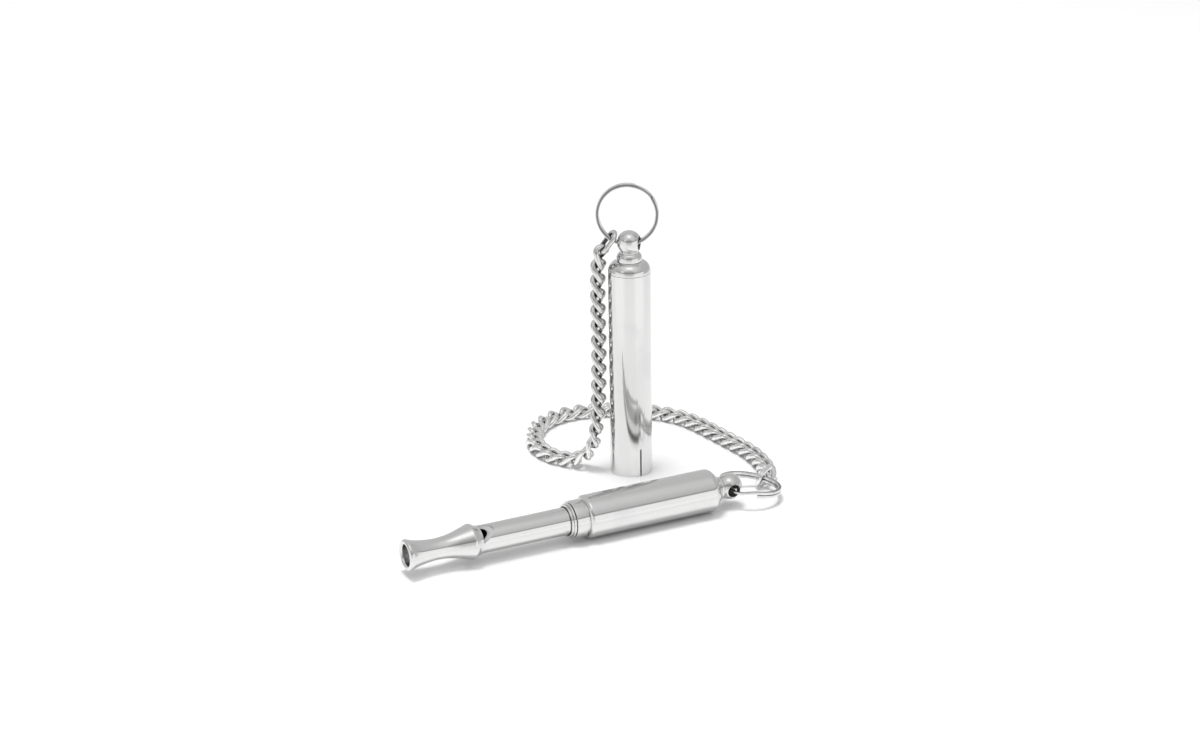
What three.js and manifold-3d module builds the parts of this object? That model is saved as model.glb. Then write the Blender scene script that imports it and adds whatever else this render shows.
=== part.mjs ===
// Adjustable dog whistle lying on its side, its cap standing behind it, joined by a curb chain.
// Millimetres, +Z up, floor at z = 0. The whistle lies along X with its mouth towards -X.
import * as THREE from 'three';
import { mergeVertices } from 'three/addons/utils/BufferGeometryUtils.js';
import Module from 'manifold-3d';

const wasm = await Module();
wasm.setup();

// Plan centre of the whistle, cap and rings, measured from the mouth's front plane and the whistle's axis
const MIDDLE_X = 47.36;
const MIDDLE_Y = 14.56;

// Facets round each turned piece
const TURN_STEPS = 32;
const FINE_STEPS = 28;
const AXIS_HEIGHT = 5.0 * Math.cos(Math.PI / TURN_STEPS);

// Mouthpiece, lengths measured back from the mouth's front plane
const MOUTH_LIP_RADIUS = 3.6;
const MOUTH_BORE_FRONT = 2.42;
const MOUTH_BORE = 1.6;
const MOUTH_FUNNEL_END = 5.5;
const MOUTH_WAIST_RADIUS = 2.43;
const MOUTH_WAIST_AT = 7.4;
const MOUTH_FLARE_RADIUS = 4.08;
const MOUTH_FLARE_AT = 15.7;
const MOUTH_END = 17.4;
const PLUG_SEAT_START = 12.7;
const PLUG_SEAT_RADIUS = 2.45;

// Windway plug
const PLUG_RADIUS = 2.3;
const PLUG_FLAT = 1.45;
const PLUG_START = 12.9;
const PLUG_END = 17.9;

// Whistle tube and its window
const TUBE_RADIUS = 3.2;
const TUBE_BORE = 2.5;
const TUBE_START = 17.5;
const TUBE_END = 61.5;
const WINDOW_START = 17.75;
const WINDOW_FLOOR = 1.85;
const WINDOW_LIP_END = 20.9;
const WINDOW_TILT = THREE.MathUtils.degToRad(60);

// Lock nut and threaded ferrule on the tube
const NUT_START = 39.15;
const NUT_END = 40.2;
const NUT_BORE = 3.4;
const NUT_RADIUS = 4.05;
const FERRULE_START = 49.0;
const FERRULE_END = 57.0;
const FERRULE_BORE = 3.35;
const FERRULE_RADIUS = 3.72;

// Barrel
const BAND_START = 40.3;
const BAND_RADIUS = 4.35;
const BAND_BORE = 3.5;
const BARREL_START = 43.5;
const BARREL_RADIUS = 5.0;
const BARREL_FRONT_ROUND = 0.95;
const GROOVE_START = 43.05;
const GROOVE_RADIUS = 4.02;
const BARREL_BORE = 4.0;
const BARREL_BORE_START = 44.1;
const BARREL_BORE_END = 73.0;
const BARREL_SHOULDER = 75.2;
const BARREL_END = 78.0;
const BARREL_END_RADIUS = 2.75;
const BARREL_STUD_HOLE = 1.25;

// Tuning rod and piston head inside the tube
const ROD_RADIUS = 1.1;
const ROD_START = 31.7;
const ROD_END = 75.4;
const PISTON_RADIUS = 2.25;
const PISTON_START = 30.1;
const PISTON_END = 33.3;
const PISTON_SOCKET = 1.2;
const PISTON_SOCKET_FLOOR = 31.6;

// Ball finial on the barrel
const BALL_RADIUS = 3.05;
const BALL_AT = 81.0;
const COLLAR_RADIUS = 2.65;
const COLLAR_START = 78.05;
const COLLAR_END = 78.7;
const NECK_RADIUS = 2.15;
const STUD_RADIUS = 1.1;
const STUD_START = 75.8;

// Eyes through both balls: a waist that opens towards each mouth
const EYE_WAIST = 1.38;
const EYE_FLARE = 0.35;
const EYE_REACH = 2.8;
const EYE_CUT_REACH = 3.6;
const EYE_DROP = 0.35;

// Cap, its foot measured like the whistle, its slit and its finial
const CAP_X = 71.17;
const CAP_Y = 29.93;
const CAP_RADIUS = 5.0;
const CAP_BORE = 4.55;
const CAP_SEAM = 49.75;
const SLIT_WIDTH = 0.35;
const SLIT_HEIGHT = 6.8;
const CAP_PLUG_RADIUS = 4.4;
const CAP_PLUG_DEPTH = 1.2;
const CAP_DOME_ROUND = 2.7;
const CAP_DOME_RISE = 0.1;
const CAP_BEAD_ROUND = 2.0;
const CAP_BEAD_RADIUS = 3.05;
const CAP_BEAD_RISE = 3.15;
const CAP_NECK_RADIUS = 2.15;
const CAP_BALL_RISE = 7.0;
const CAP_BALL_RADIUS = 2.92;
const CAP_EYE_FACING = THREE.MathUtils.degToRad(-40);

// Split rings: two flat turns of wire side by side
const RING_RADIUS = 6.9;
const RING_WIRE_RADIAL = 0.9;
const RING_WIRE_AXIAL = 0.7;
const RING_TURN_GAP = 0.1;
const RING_JOG = THREE.MathUtils.degToRad(40);
const RING_SEAT = 0.25;
const RING_START = THREE.MathUtils.degToRad(215);
const CAP_RING_START = THREE.MathUtils.degToRad(35);
const RING_STEPS = 88;
const RING_TILT = THREE.MathUtils.degToRad(10.5);
const RING_SWAY = THREE.MathUtils.degToRad(12);
const CAP_RING_FACING = THREE.MathUtils.degToRad(-30);
const CAP_RING_LEAN = THREE.MathUtils.degToRad(6);
const CAP_RING_SHIFT = -0.4;

// Curb chain
const LINK_COUNT = 45;
const LINK_LENGTH = 5.5;
const LINK_WIDTH = 3.1;
const LINK_WIRE = 1.25;
const LINK_TWIST = THREE.MathUtils.degToRad(-60);
const LINK_STEPS = 16;
const LINK_SIDES = 5;
const CONNECTOR_LENGTH = 5.6;
const CONNECTOR_WIDTH = 3.5;
const CONNECTOR_WIRE = 1.1;
const CONNECTOR_STEPS = 20;
const CONNECTOR_SIDES = 6;
const HANG_TWIST_STEP = THREE.MathUtils.degToRad(8);
const HANG_START_HEIGHT = 5.0;
const HANG_FACING = THREE.MathUtils.degToRad(48);

// Where the two connectors sit: centre, direction along the chain, and flat direction
const WHISTLE_CONNECTOR_CENTRE = [93.8, 6.26, 2.51];
const WHISTLE_CONNECTOR_ALONG = [0.82, 0.571, 0.035];
const WHISTLE_CONNECTOR_FLAT = [0.546, -0.761, -0.35];
const CAP_CONNECTOR_CENTRE = [66.92, 32.43, 56.81];
const CAP_CONNECTOR_ALONG = [0.544, -0.218, 0.81];
const CAP_CONNECTOR_FLAT = [0.798, -0.165, -0.58];

// Chain's middle line from the whistle's connector over the floor and up to the cap's connector
const CHAIN_ROUTE = [
  [95.6, 7.4, 1.95],
  [96.8, 9.7, 1.7],
  [98.1, 13.2, 1.52],
  [98.9, 17.4, 1.5],
  [99.3, 22.8, 1.5],
  [98.8, 28.6, 1.5],
  [98.0, 34.9, 1.5],
  [96.9, 43.1, 1.5],
  [95.1, 50.0, 1.5],
  [92.0, 54.7, 1.5],
  [88.4, 58.6, 1.5],
  [83.5, 62.0, 1.5],
  [78.5, 64.3, 1.5],
  [73.7, 65.3, 1.5],
  [69.2, 65.1, 1.5],
  [64.6, 63.4, 1.5],
  [61.4, 60.9, 1.5],
  [58.9, 57.6, 1.5],
  [56.9, 53.5, 1.5],
  [55.9, 49.2, 1.5],
  [56.1, 45.0, 1.5],
  [57.2, 41.5, 1.5],
  [59.0, 39.0, 1.7],
  [61.0, 36.3, 2.7],
  [62.5, 34.3, 5.0],
  [63.3, 33.3, 8.2],
  [63.7, 33.1, 11.4],
  [64.2, 33.2, 15.0],
  [64.5, 33.3, 21.5],
  [64.8, 33.5, 30.0],
  [64.9, 33.8, 40.0],
  [65.0, 33.9, 47.5],
  [65.1, 33.6, 51.8],
  [65.5, 32.9, 54.9],
];

// Finishes
const NICKEL = new THREE.MeshStandardMaterial({ color: 0xd6d6d4, roughness: 0.14, metalness: 1.0 });
const RING_STEEL = new THREE.MeshStandardMaterial({ color: 0xcfd0d0, roughness: 0.2, metalness: 1.0 });
const BRASS = new THREE.MeshStandardMaterial({ color: 0xc8a45a, roughness: 0.3, metalness: 1.0 });

// Place of a point given from the mouth's front plane and the whistle's axis
function placed(x, y, z) {
  return new THREE.Vector3(x - MIDDLE_X, y - MIDDLE_Y, z);
}

// Geometry with positions only, shared corners and faces that look outwards
function solid(geometry) {
  const bare = new THREE.BufferGeometry();
  bare.setAttribute('position', geometry.getAttribute('position').clone());
  if (geometry.index) {
    bare.setIndex(geometry.index.clone());
  }
  const merged = mergeVertices(bare, 1e-4);
  const position = merged.getAttribute('position');
  const a = new THREE.Vector3();
  const b = new THREE.Vector3();
  const c = new THREE.Vector3();
  const kept = [];
  let volume = 0;
  for (let i = 0; i < merged.index.count; i += 3) {
    const corners = [merged.index.getX(i), merged.index.getX(i + 1), merged.index.getX(i + 2)];
    if (new Set(corners).size < 3) {
      continue;
    }
    a.fromBufferAttribute(position, corners[0]);
    b.fromBufferAttribute(position, corners[1]);
    c.fromBufferAttribute(position, corners[2]);
    volume += a.dot(b.cross(c));
    kept.push(corners);
  }
  const order = volume < 0 ? kept.map(([p, q, r]) => [p, r, q]) : kept;
  merged.setIndex(order.flat());
  return merged;
}

// Solid handed to the Boolean kernel
function toKernel(geometry) {
  const closed = solid(geometry);
  const mesh = new wasm.Mesh({
    numProp: 3,
    vertProperties: new Float32Array(closed.getAttribute('position').array),
    triVerts: new Uint32Array(closed.index.array),
  });
  return new wasm.Manifold(mesh);
}

// First solid less the second
function cutAway(geometry, cutter) {
  const result = toKernel(geometry).subtract(toKernel(cutter)).getMesh();
  const cut = new THREE.BufferGeometry();
  cut.setAttribute('position', new THREE.BufferAttribute(new Float32Array(result.vertProperties), 3));
  cut.setIndex(Array.from(result.triVerts));
  return cut;
}

// Turned solid from a closed or axis-to-axis outline of [radius, distance] pairs, axis along Y
function turned(outline, steps) {
  const points = outline.map(([radius, distance]) => new THREE.Vector2(radius, distance));
  return new THREE.LatheGeometry(points, steps, Math.PI / steps, Math.PI * 2);
}

// Turned solid laid along the whistle's axis with a facet towards the floor
function turnedAlongWhistle(outline, steps = TURN_STEPS) {
  const lie = new THREE.Matrix4().makeBasis(
    new THREE.Vector3(0, 1, 0),
    new THREE.Vector3(1, 0, 0),
    new THREE.Vector3(0, 0, -1),
  );
  const origin = placed(0, 0, AXIS_HEIGHT);
  return turned(outline, steps).applyMatrix4(lie).translate(origin.x, origin.y, origin.z);
}

// Turned solid standing on the cap's axis
function turnedOnCap(outline, steps = TURN_STEPS) {
  const origin = placed(CAP_X, CAP_Y, 0);
  return turned(outline, steps).rotateX(Math.PI / 2).translate(origin.x, origin.y, origin.z);
}

// Closed outline: the last point repeats the first
function loop(outline) {
  return [...outline, outline[0]];
}

// Arc of outline points about a centre, its angle counted from straight back along the axis
function arcOutline(ring, at, radius, from, to, count) {
  const points = [];
  for (let i = 0; i <= count; i += 1) {
    const angle = THREE.MathUtils.degToRad(from + ((to - from) * i) / count);
    points.push([Math.max(0, ring + radius * Math.sin(angle)), at - radius * Math.cos(angle)]);
  }
  return points;
}

// Cutter for an eye: waisted round hole along a direction
function eyeCutter(centre, along) {
  const outline = [[0, -EYE_CUT_REACH]];
  const steps = 10;
  for (let i = 0; i <= steps; i += 1) {
    const reach = -EYE_CUT_REACH + (2 * EYE_CUT_REACH * i) / steps;
    outline.push([EYE_WAIST + EYE_FLARE * (reach / EYE_REACH) ** 2, reach]);
  }
  outline.push([0, EYE_CUT_REACH]);
  const spin = new THREE.Quaternion().setFromUnitVectors(new THREE.Vector3(0, 1, 0), along);
  return turned(outline, 20).applyQuaternion(spin).translate(centre.x, centre.y, centre.z);
}

function mouthpiece() {
  const lipRound = (MOUTH_LIP_RADIUS - MOUTH_BORE_FRONT) / 2;
  return turnedAlongWhistle(loop([
    ...arcOutline((MOUTH_LIP_RADIUS + MOUTH_BORE_FRONT) / 2, lipRound, lipRound, -90, 90, 6),
    [3.5, 1.0],
    [3.22, 1.8],
    [2.93, 2.9],
    [2.72, 4.1],
    [2.53, 5.6],
    [MOUTH_WAIST_RADIUS, MOUTH_WAIST_AT],
    [2.52, 9.2],
    [2.72, 10.6],
    [3.02, 12.0],
    [3.5, 13.6],
    [3.93, 15.0],
    [MOUTH_FLARE_RADIUS, MOUTH_FLARE_AT],
    [3.98, 16.1],
    [TUBE_RADIUS + 0.08, MOUTH_END],
    [PLUG_SEAT_RADIUS, MOUTH_END],
    [PLUG_SEAT_RADIUS, PLUG_SEAT_START],
    [MOUTH_BORE, PLUG_SEAT_START],
    [MOUTH_BORE, MOUTH_FUNNEL_END],
    [1.8, 3.9],
    [2.15, 2.2],
  ]));
}

function windwayPlug() {
  const half = Math.acos(PLUG_FLAT / PLUG_RADIUS);
  const outline = new THREE.Shape();
  const steps = 20;
  for (let i = 0; i <= steps; i += 1) {
    const angle = half + ((2 * Math.PI - 2 * half) * i) / steps;
    const point = new THREE.Vector2(PLUG_RADIUS * Math.sin(angle), PLUG_RADIUS * Math.cos(angle));
    if (i === 0) {
      outline.moveTo(point.x, point.y);
    } else {
      outline.lineTo(point.x, point.y);
    }
  }
  outline.closePath();
  const block = new THREE.ExtrudeGeometry(outline, { depth: PLUG_END - PLUG_START, bevelEnabled: false });
  return alongWindow(block, PLUG_START);
}

// Lays a solid drawn with Z along the whistle and Y towards the window
function alongWindow(geometry, start) {
  const along = new THREE.Vector3(1, 0, 0);
  const outward = new THREE.Vector3(0, -Math.cos(WINDOW_TILT), Math.sin(WINDOW_TILT));
  const side = new THREE.Vector3().crossVectors(outward, along);
  const origin = placed(start, 0, AXIS_HEIGHT);
  geometry.applyMatrix4(new THREE.Matrix4().makeBasis(side, outward, along));
  return geometry.translate(origin.x, origin.y, origin.z);
}

// Wedge with an upright front wall and a floor that slants out to the lip's end
function windowCutter() {
  const beyond = TUBE_RADIUS + 1;
  const outline = new THREE.Shape();
  outline.moveTo(beyond, WINDOW_START);
  outline.lineTo(WINDOW_FLOOR, WINDOW_START);
  outline.lineTo(TUBE_RADIUS, WINDOW_LIP_END);
  outline.lineTo(beyond, WINDOW_LIP_END);
  outline.closePath();
  const wedge = new THREE.ExtrudeGeometry(outline, { depth: 2 * beyond, bevelEnabled: false });
  wedge.translate(0, 0, -beyond);
  const turn = new THREE.Matrix4().makeBasis(
    new THREE.Vector3(0, 1, 0),
    new THREE.Vector3(0, 0, 1),
    new THREE.Vector3(1, 0, 0),
  );
  return alongWindow(wedge.applyMatrix4(turn), 0);
}

function whistleTube() {
  const tube = turnedAlongWhistle(loop([
    [TUBE_BORE, TUBE_START],
    [TUBE_RADIUS, TUBE_START],
    [TUBE_RADIUS, TUBE_END],
    [TUBE_BORE, TUBE_END],
  ]));
  return cutAway(tube, windowCutter());
}

function threadFerrule() {
  return turnedAlongWhistle(loop([
    [FERRULE_BORE, FERRULE_START],
    [FERRULE_RADIUS - 0.15, FERRULE_START],
    [FERRULE_RADIUS, FERRULE_START + 0.3],
    [FERRULE_RADIUS, FERRULE_END - 0.3],
    [FERRULE_RADIUS - 0.15, FERRULE_END],
    [FERRULE_BORE, FERRULE_END],
  ]));
}

function lockNut() {
  return turnedAlongWhistle(loop([
    [NUT_BORE, NUT_START],
    [NUT_RADIUS - 0.4, NUT_START],
    [NUT_RADIUS - 0.25, NUT_START + 0.12],
    [NUT_RADIUS - 0.22, NUT_START + 0.4],
    [NUT_RADIUS - 0.05, NUT_START + 0.48],
    [NUT_RADIUS, NUT_START + 0.75],
    [NUT_RADIUS - 0.1, NUT_END],
    [NUT_BORE, NUT_END],
  ]));
}

function barrel() {
  return turnedAlongWhistle(loop([
    [BAND_BORE, BAND_START],
    [BAND_RADIUS - 0.12, BAND_START],
    [BAND_RADIUS, BAND_START + 0.15],
    [BAND_RADIUS, GROOVE_START],
    [GROOVE_RADIUS, GROOVE_START + 0.08],
    [GROOVE_RADIUS, BARREL_START],
    ...arcOutline(
      BARREL_RADIUS - BARREL_FRONT_ROUND,
      BARREL_START + BARREL_FRONT_ROUND,
      BARREL_FRONT_ROUND,
      0,
      90,
      4,
    ),
    [BARREL_RADIUS, BARREL_SHOULDER],
    [4.84, 75.85],
    [4.3, 76.5],
    [3.5, 77.3],
    [2.95, 77.75],
    [BARREL_END_RADIUS, BARREL_END],
    [BARREL_STUD_HOLE, BARREL_END],
    [BARREL_STUD_HOLE, BARREL_BORE_END],
    [BARREL_BORE, BARREL_BORE_END],
    [BARREL_BORE, BARREL_BORE_START],
    [BAND_BORE, BARREL_BORE_START],
  ]));
}

function tuningRod() {
  return turnedAlongWhistle([
    [0, ROD_START],
    [ROD_RADIUS, ROD_START],
    [ROD_RADIUS, ROD_END],
    [0, ROD_END],
  ], 16);
}

function pistonHead() {
  return turnedAlongWhistle([
    [0, PISTON_START],
    [PISTON_RADIUS - 0.1, PISTON_START],
    [PISTON_RADIUS, PISTON_START + 0.15],
    [PISTON_RADIUS, PISTON_END],
    [PISTON_SOCKET, PISTON_END],
    [PISTON_SOCKET, PISTON_SOCKET_FLOOR],
    [0, PISTON_SOCKET_FLOOR],
  ], FINE_STEPS);
}

// Middle of the barrel's eye
function barrelEye() {
  return placed(BALL_AT, 0, AXIS_HEIGHT - EYE_DROP);
}

function barrelFinial() {
  const neckAngle = THREE.MathUtils.radToDeg(Math.asin(NECK_RADIUS / BALL_RADIUS));
  const body = turnedAlongWhistle([
    [0, STUD_START],
    [STUD_RADIUS, STUD_START],
    [STUD_RADIUS, COLLAR_START],
    [COLLAR_RADIUS - 0.12, COLLAR_START],
    [COLLAR_RADIUS, COLLAR_START + 0.25],
    [COLLAR_RADIUS - 0.15, COLLAR_END - 0.15],
    [NECK_RADIUS, COLLAR_END],
    ...arcOutline(0, BALL_AT, BALL_RADIUS, neckAngle, 180, 11),
  ], FINE_STEPS);
  return cutAway(body, eyeCutter(barrelEye(), new THREE.Vector3(0, 1, 0)));
}

function capTube() {
  const tube = turnedOnCap(loop([
    [CAP_BORE, 0],
    [CAP_RADIUS, 0],
    [CAP_RADIUS, CAP_SEAM],
    [CAP_BORE, CAP_SEAM],
  ]));
  const slit = new THREE.BoxGeometry(SLIT_WIDTH, 3, 2 * SLIT_HEIGHT);
  const at = placed(CAP_X, CAP_Y - CAP_RADIUS, 0);
  return cutAway(tube, slit.translate(at.x, at.y, at.z));
}

// Level direction at an angle from +X
function level(angle) {
  return new THREE.Vector3(Math.cos(angle), Math.sin(angle), 0);
}

function capFinial() {
  const foot = CAP_SEAM + 0.05;
  const ballAt = CAP_SEAM + CAP_BALL_RISE;
  const neckAngle = THREE.MathUtils.radToDeg(Math.asin(CAP_NECK_RADIUS / CAP_BALL_RADIUS));
  const body = turnedOnCap([
    [0, CAP_SEAM - CAP_PLUG_DEPTH],
    [CAP_PLUG_RADIUS, CAP_SEAM - CAP_PLUG_DEPTH],
    [CAP_PLUG_RADIUS, foot],
    [CAP_RADIUS, foot],
    ...arcOutline(CAP_RADIUS - CAP_DOME_ROUND, CAP_SEAM + CAP_DOME_RISE, CAP_DOME_ROUND, 90, 168, 6),
    ...arcOutline(CAP_BEAD_RADIUS - CAP_BEAD_ROUND, CAP_SEAM + CAP_BEAD_RISE, CAP_BEAD_ROUND, 80, 146, 6),
    ...arcOutline(0, ballAt, CAP_BALL_RADIUS, neckAngle, 180, 11),
  ], FINE_STEPS);
  return cutAway(body, eyeCutter(placed(CAP_X, CAP_Y, ballAt), level(CAP_EYE_FACING)));
}

// Wire centre of a split ring: one turn, a short jog and a second turn beside the first
class SplitRingCurve extends THREE.Curve {
  constructor(start) {
    super();
    this.start = start;
  }

  getPoint(t, target = new THREE.Vector3()) {
    const angle = RING_JOG + t * (4 * Math.PI - RING_JOG);
    const rise = (RING_WIRE_AXIAL + RING_TURN_GAP) / 2;
    const share = THREE.MathUtils.smoothstep(angle, 2 * Math.PI, 2 * Math.PI + RING_JOG);
    const turn = this.start + angle;
    return target.set(RING_RADIUS * Math.cos(turn), RING_RADIUS * Math.sin(turn), rise * (2 * share - 1));
  }
}

// Split ring with its plane spanned by two directions about a centre, its wire ends at a start angle
function splitRing(centre, first, second, start) {
  const axial = RING_WIRE_AXIAL / 2;
  const radial = RING_WIRE_RADIAL / 2;
  const bevel = 0.18;
  const section = new THREE.Shape([
    new THREE.Vector2(-axial, -radial + bevel),
    new THREE.Vector2(-axial + bevel, -radial),
    new THREE.Vector2(axial, -radial),
    new THREE.Vector2(axial, radial - bevel),
    new THREE.Vector2(axial - bevel, radial),
    new THREE.Vector2(-axial, radial),
  ]);
  const wire = new THREE.ExtrudeGeometry(section, {
    steps: RING_STEPS,
    bevelEnabled: false,
    extrudePath: new SplitRingCurve(start),
  });
  const normal = new THREE.Vector3().crossVectors(first, second);
  wire.applyMatrix4(new THREE.Matrix4().makeBasis(first, second, normal));
  return wire.translate(centre.x, centre.y, centre.z);
}

function whistleRing() {
  const reach = RING_RADIUS - RING_SEAT;
  const down = new THREE.Vector3(Math.cos(RING_TILT), 0, -Math.sin(RING_TILT));
  const across = new THREE.Vector3(0, 1, 0);
  const centre = barrelEye()
    .addScaledVector(down, reach * Math.cos(RING_SWAY))
    .addScaledVector(across, reach * Math.sin(RING_SWAY));
  return splitRing(centre, down, across, RING_START);
}

function capRing() {
  const along = level(CAP_RING_FACING);
  const back = new THREE.Vector3(-along.y, along.x, 0);
  const up = new THREE.Vector3(0, 0, Math.cos(CAP_RING_LEAN)).addScaledVector(back, Math.sin(CAP_RING_LEAN));
  const centre = placed(CAP_X, CAP_Y, CAP_SEAM + CAP_BALL_RISE)
    .addScaledVector(up, RING_RADIUS - RING_SEAT)
    .addScaledVector(along, CAP_RING_SHIFT);
  return splitRing(centre, along, up, CAP_RING_START);
}

// Middle line of a link: a long round-ended loop turned about its length from end to end
class LinkCurve extends THREE.Curve {
  constructor(length, width, twist) {
    super();
    this.straight = length - width;
    this.end = width / 2;
    this.reach = length / 2;
    this.twist = twist;
  }

  getPoint(t, target = new THREE.Vector3()) {
    const arc = Math.PI * this.end;
    const total = 2 * (this.straight + arc);
    const run = (t * total) % total;
    const back = run >= total / 2;
    const part = back ? run - total / 2 : run;
    const turn = Math.max(0, part - this.straight) / this.end;
    const along = Math.min(part, this.straight) - this.straight / 2 + this.end * Math.sin(turn);
    const across = -this.end * Math.cos(turn);
    const sign = back ? -1 : 1;
    const angle = (this.twist * sign * along) / this.reach;
    return target.set(sign * along, sign * across * Math.cos(angle), sign * across * Math.sin(angle));
  }
}

// Closed wire loop laid at a centre, long way along one direction, flat side towards another
function wireLoop(curve, wire, steps, sides, centre, along, flat) {
  const geometry = new THREE.TubeGeometry(curve, steps, wire / 2, sides, true);
  const across = new THREE.Vector3().crossVectors(flat, along).normalize();
  const normal = new THREE.Vector3().crossVectors(along, across);
  geometry.applyMatrix4(new THREE.Matrix4().makeBasis(along, across, normal));
  return geometry.translate(centre.x, centre.y, centre.z);
}

function connectorLink(centre, along, flat) {
  const curve = new LinkCurve(CONNECTOR_LENGTH, CONNECTOR_WIDTH, 0);
  const direction = new THREE.Vector3(...along).normalize();
  const face = new THREE.Vector3(...flat).normalize();
  const place = placed(...centre);
  return wireLoop(curve, CONNECTOR_WIRE, CONNECTOR_STEPS, CONNECTOR_SIDES, place, direction, face);
}

// Centre, direction and flat side of every chain link along the route
function linkPlaces() {
  const route = new THREE.CatmullRomCurve3(CHAIN_ROUTE.map((point) => placed(...point)));
  route.arcLengthDivisions = 2000;
  const facing = level(HANG_FACING).cross(new THREE.Vector3(0, 0, -1));
  const flat = new THREE.Vector3(0, 0, 1);
  const places = [];
  for (let i = 0; i < LINK_COUNT; i += 1) {
    const start = route.getPointAt(i / LINK_COUNT);
    const end = route.getPointAt((i + 1) / LINK_COUNT);
    const along = end.clone().sub(start).normalize();
    const centre = start.clone().add(end).multiplyScalar(0.5);
    flat.addScaledVector(along, -flat.dot(along)).normalize();
    if (centre.z > HANG_START_HEIGHT) {
      const wanted = facing.clone().addScaledVector(along, -facing.dot(along)).normalize();
      const angle = Math.atan2(flat.clone().cross(wanted).dot(along), flat.dot(wanted));
      flat.applyAxisAngle(along, THREE.MathUtils.clamp(angle, -HANG_TWIST_STEP, HANG_TWIST_STEP));
    }
    places.push({ centre, along, flat: flat.clone() });
  }
  return places;
}

const group = new THREE.Group();

// Adds one named piece with its finish
function add(name, geometry, finish) {
  const mesh = new THREE.Mesh(solid(geometry), finish);
  mesh.name = name;
  group.add(mesh);
}

add('mouthpiece', mouthpiece(), NICKEL);
add('windway_plug', windwayPlug(), BRASS);
add('whistle_tube', whistleTube(), NICKEL);
add('thread_ferrule', threadFerrule(), BRASS);
add('lock_nut', lockNut(), NICKEL);
add('barrel', barrel(), NICKEL);
add('tuning_rod', tuningRod(), BRASS);
add('piston_head', pistonHead(), BRASS);
add('barrel_finial', barrelFinial(), NICKEL);
add('whistle_ring', whistleRing(), RING_STEEL);
add('cap_tube', capTube(), NICKEL);
add('cap_finial', capFinial(), NICKEL);
add('cap_ring', capRing(), RING_STEEL);
add('whistle_connector', connectorLink(
  WHISTLE_CONNECTOR_CENTRE,
  WHISTLE_CONNECTOR_ALONG,
  WHISTLE_CONNECTOR_FLAT,
), RING_STEEL);
linkPlaces().forEach(({ centre, along, flat }, index) => {
  const curve = new LinkCurve(LINK_LENGTH, LINK_WIDTH, LINK_TWIST);
  const link = wireLoop(curve, LINK_WIRE, LINK_STEPS, LINK_SIDES, centre, along, flat);
  add(`chain_link_${String(index + 1).padStart(2, '0')}`, link, RING_STEEL);
});
add('cap_connector', connectorLink(
  CAP_CONNECTOR_CENTRE,
  CAP_CONNECTOR_ALONG,
  CAP_CONNECTOR_FLAT,
), RING_STEEL);

export default group;
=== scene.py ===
"""Adjustable dog whistle with its slip-on cap and curb chain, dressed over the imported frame.

Lengths are millimetres from the mouth's front plane, the whistle's axis and the floor. The function to_frame
turns them into metres of the frame.
"""

import logging
from dataclasses import dataclass, field
from enum import Enum
from math import asin, cos, degrees, pi, radians, sin, tau
from typing import Any, Iterable, Sequence, Union

import bpy
import numpy as np
from mathutils import Matrix


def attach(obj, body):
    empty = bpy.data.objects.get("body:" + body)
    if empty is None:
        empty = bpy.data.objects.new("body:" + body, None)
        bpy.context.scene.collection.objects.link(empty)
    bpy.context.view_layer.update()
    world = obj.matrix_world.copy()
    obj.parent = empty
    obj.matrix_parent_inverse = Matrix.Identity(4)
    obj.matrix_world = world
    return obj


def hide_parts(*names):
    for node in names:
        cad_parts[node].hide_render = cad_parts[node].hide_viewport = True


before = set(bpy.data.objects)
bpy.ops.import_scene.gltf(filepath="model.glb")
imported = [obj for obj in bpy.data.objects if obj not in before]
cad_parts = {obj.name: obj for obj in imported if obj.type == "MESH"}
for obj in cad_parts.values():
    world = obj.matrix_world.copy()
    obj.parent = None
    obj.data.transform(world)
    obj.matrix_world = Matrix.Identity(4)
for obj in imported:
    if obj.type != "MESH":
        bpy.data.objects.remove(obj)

LOG = logging.getLogger("dog_whistle")

Colour = tuple[float, float, float, float]
Point = tuple[float, float, float]
Span = tuple[float, float]

# Where the frame's origin lies
MIDDLE_X = 47.36
MIDDLE_Y = 14.56
MILLIMETRE = 0.001

# Height of the whistle's axis: the frame's barrel has flat sides and lies on one of them
SOLID_RADIUS = 5.0
SOLID_SIDES = 32
AXIS_HEIGHT = SOLID_RADIUS * cos(pi / SOLID_SIDES)

X_AXIS = np.array([1.0, 0.0, 0.0])
Y_AXIS = np.array([0.0, 1.0, 0.0])
Z_AXIS = np.array([0.0, 0.0, 1.0])

# Distances that count as none: between points, from an axis, and along a side
SAME_PLACE = 1e-7
ON_AXIS = 1e-6
NO_LENGTH = 1e-9

# How far a cutter reaches past what it cuts, and how far from its pole the flat end of a solid starts
CUT_PAST = 1.0
POLE_GAP = 0.3

# Sections along a link's wire and points round it
LOOP_STEPS = 44
LOOP_SIDES = 12

# Name of the mark that the points of links and rings carry, higher where painted shade darkens them
RECESS = "recess"

# Darker plate of the links that hang: painted shade
SHADED_PLATE = (0.72, 0.72, 0.715, 1.0)
RUBBED_SHADED_PLATE = (0.56, 0.56, 0.555, 1.0)

# Steel of the split rings, with a dark grey painted along the middle of the wire's flat sides as shade
STEEL = (0.76, 0.76, 0.76, 1.0)
RUBBED_STEEL = (0.6, 0.6, 0.6, 1.0)
STEEL_SHADE = (0.26, 0.26, 0.26, 1.0)

# Walls of the drilled eyes, near black: painted shade inside the holes
EYE_SHADE = (0.16, 0.16, 0.16, 1.0)
RUBBED_EYE_SHADE = (0.3, 0.3, 0.3, 1.0)

# Satin cut of the window's ramp and of the mouth's bore, rougher than the plate; its darker grey is painted
# shade
MILLED_SHADE = (0.46, 0.46, 0.46, 1.0)
RUBBED_MILLED_SHADE = (0.34, 0.34, 0.34, 1.0)


class Slot(Enum):
    """Material slots of the record."""

    SHELL = "plated_shell"
    WIRE = "plated_wire"


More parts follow.
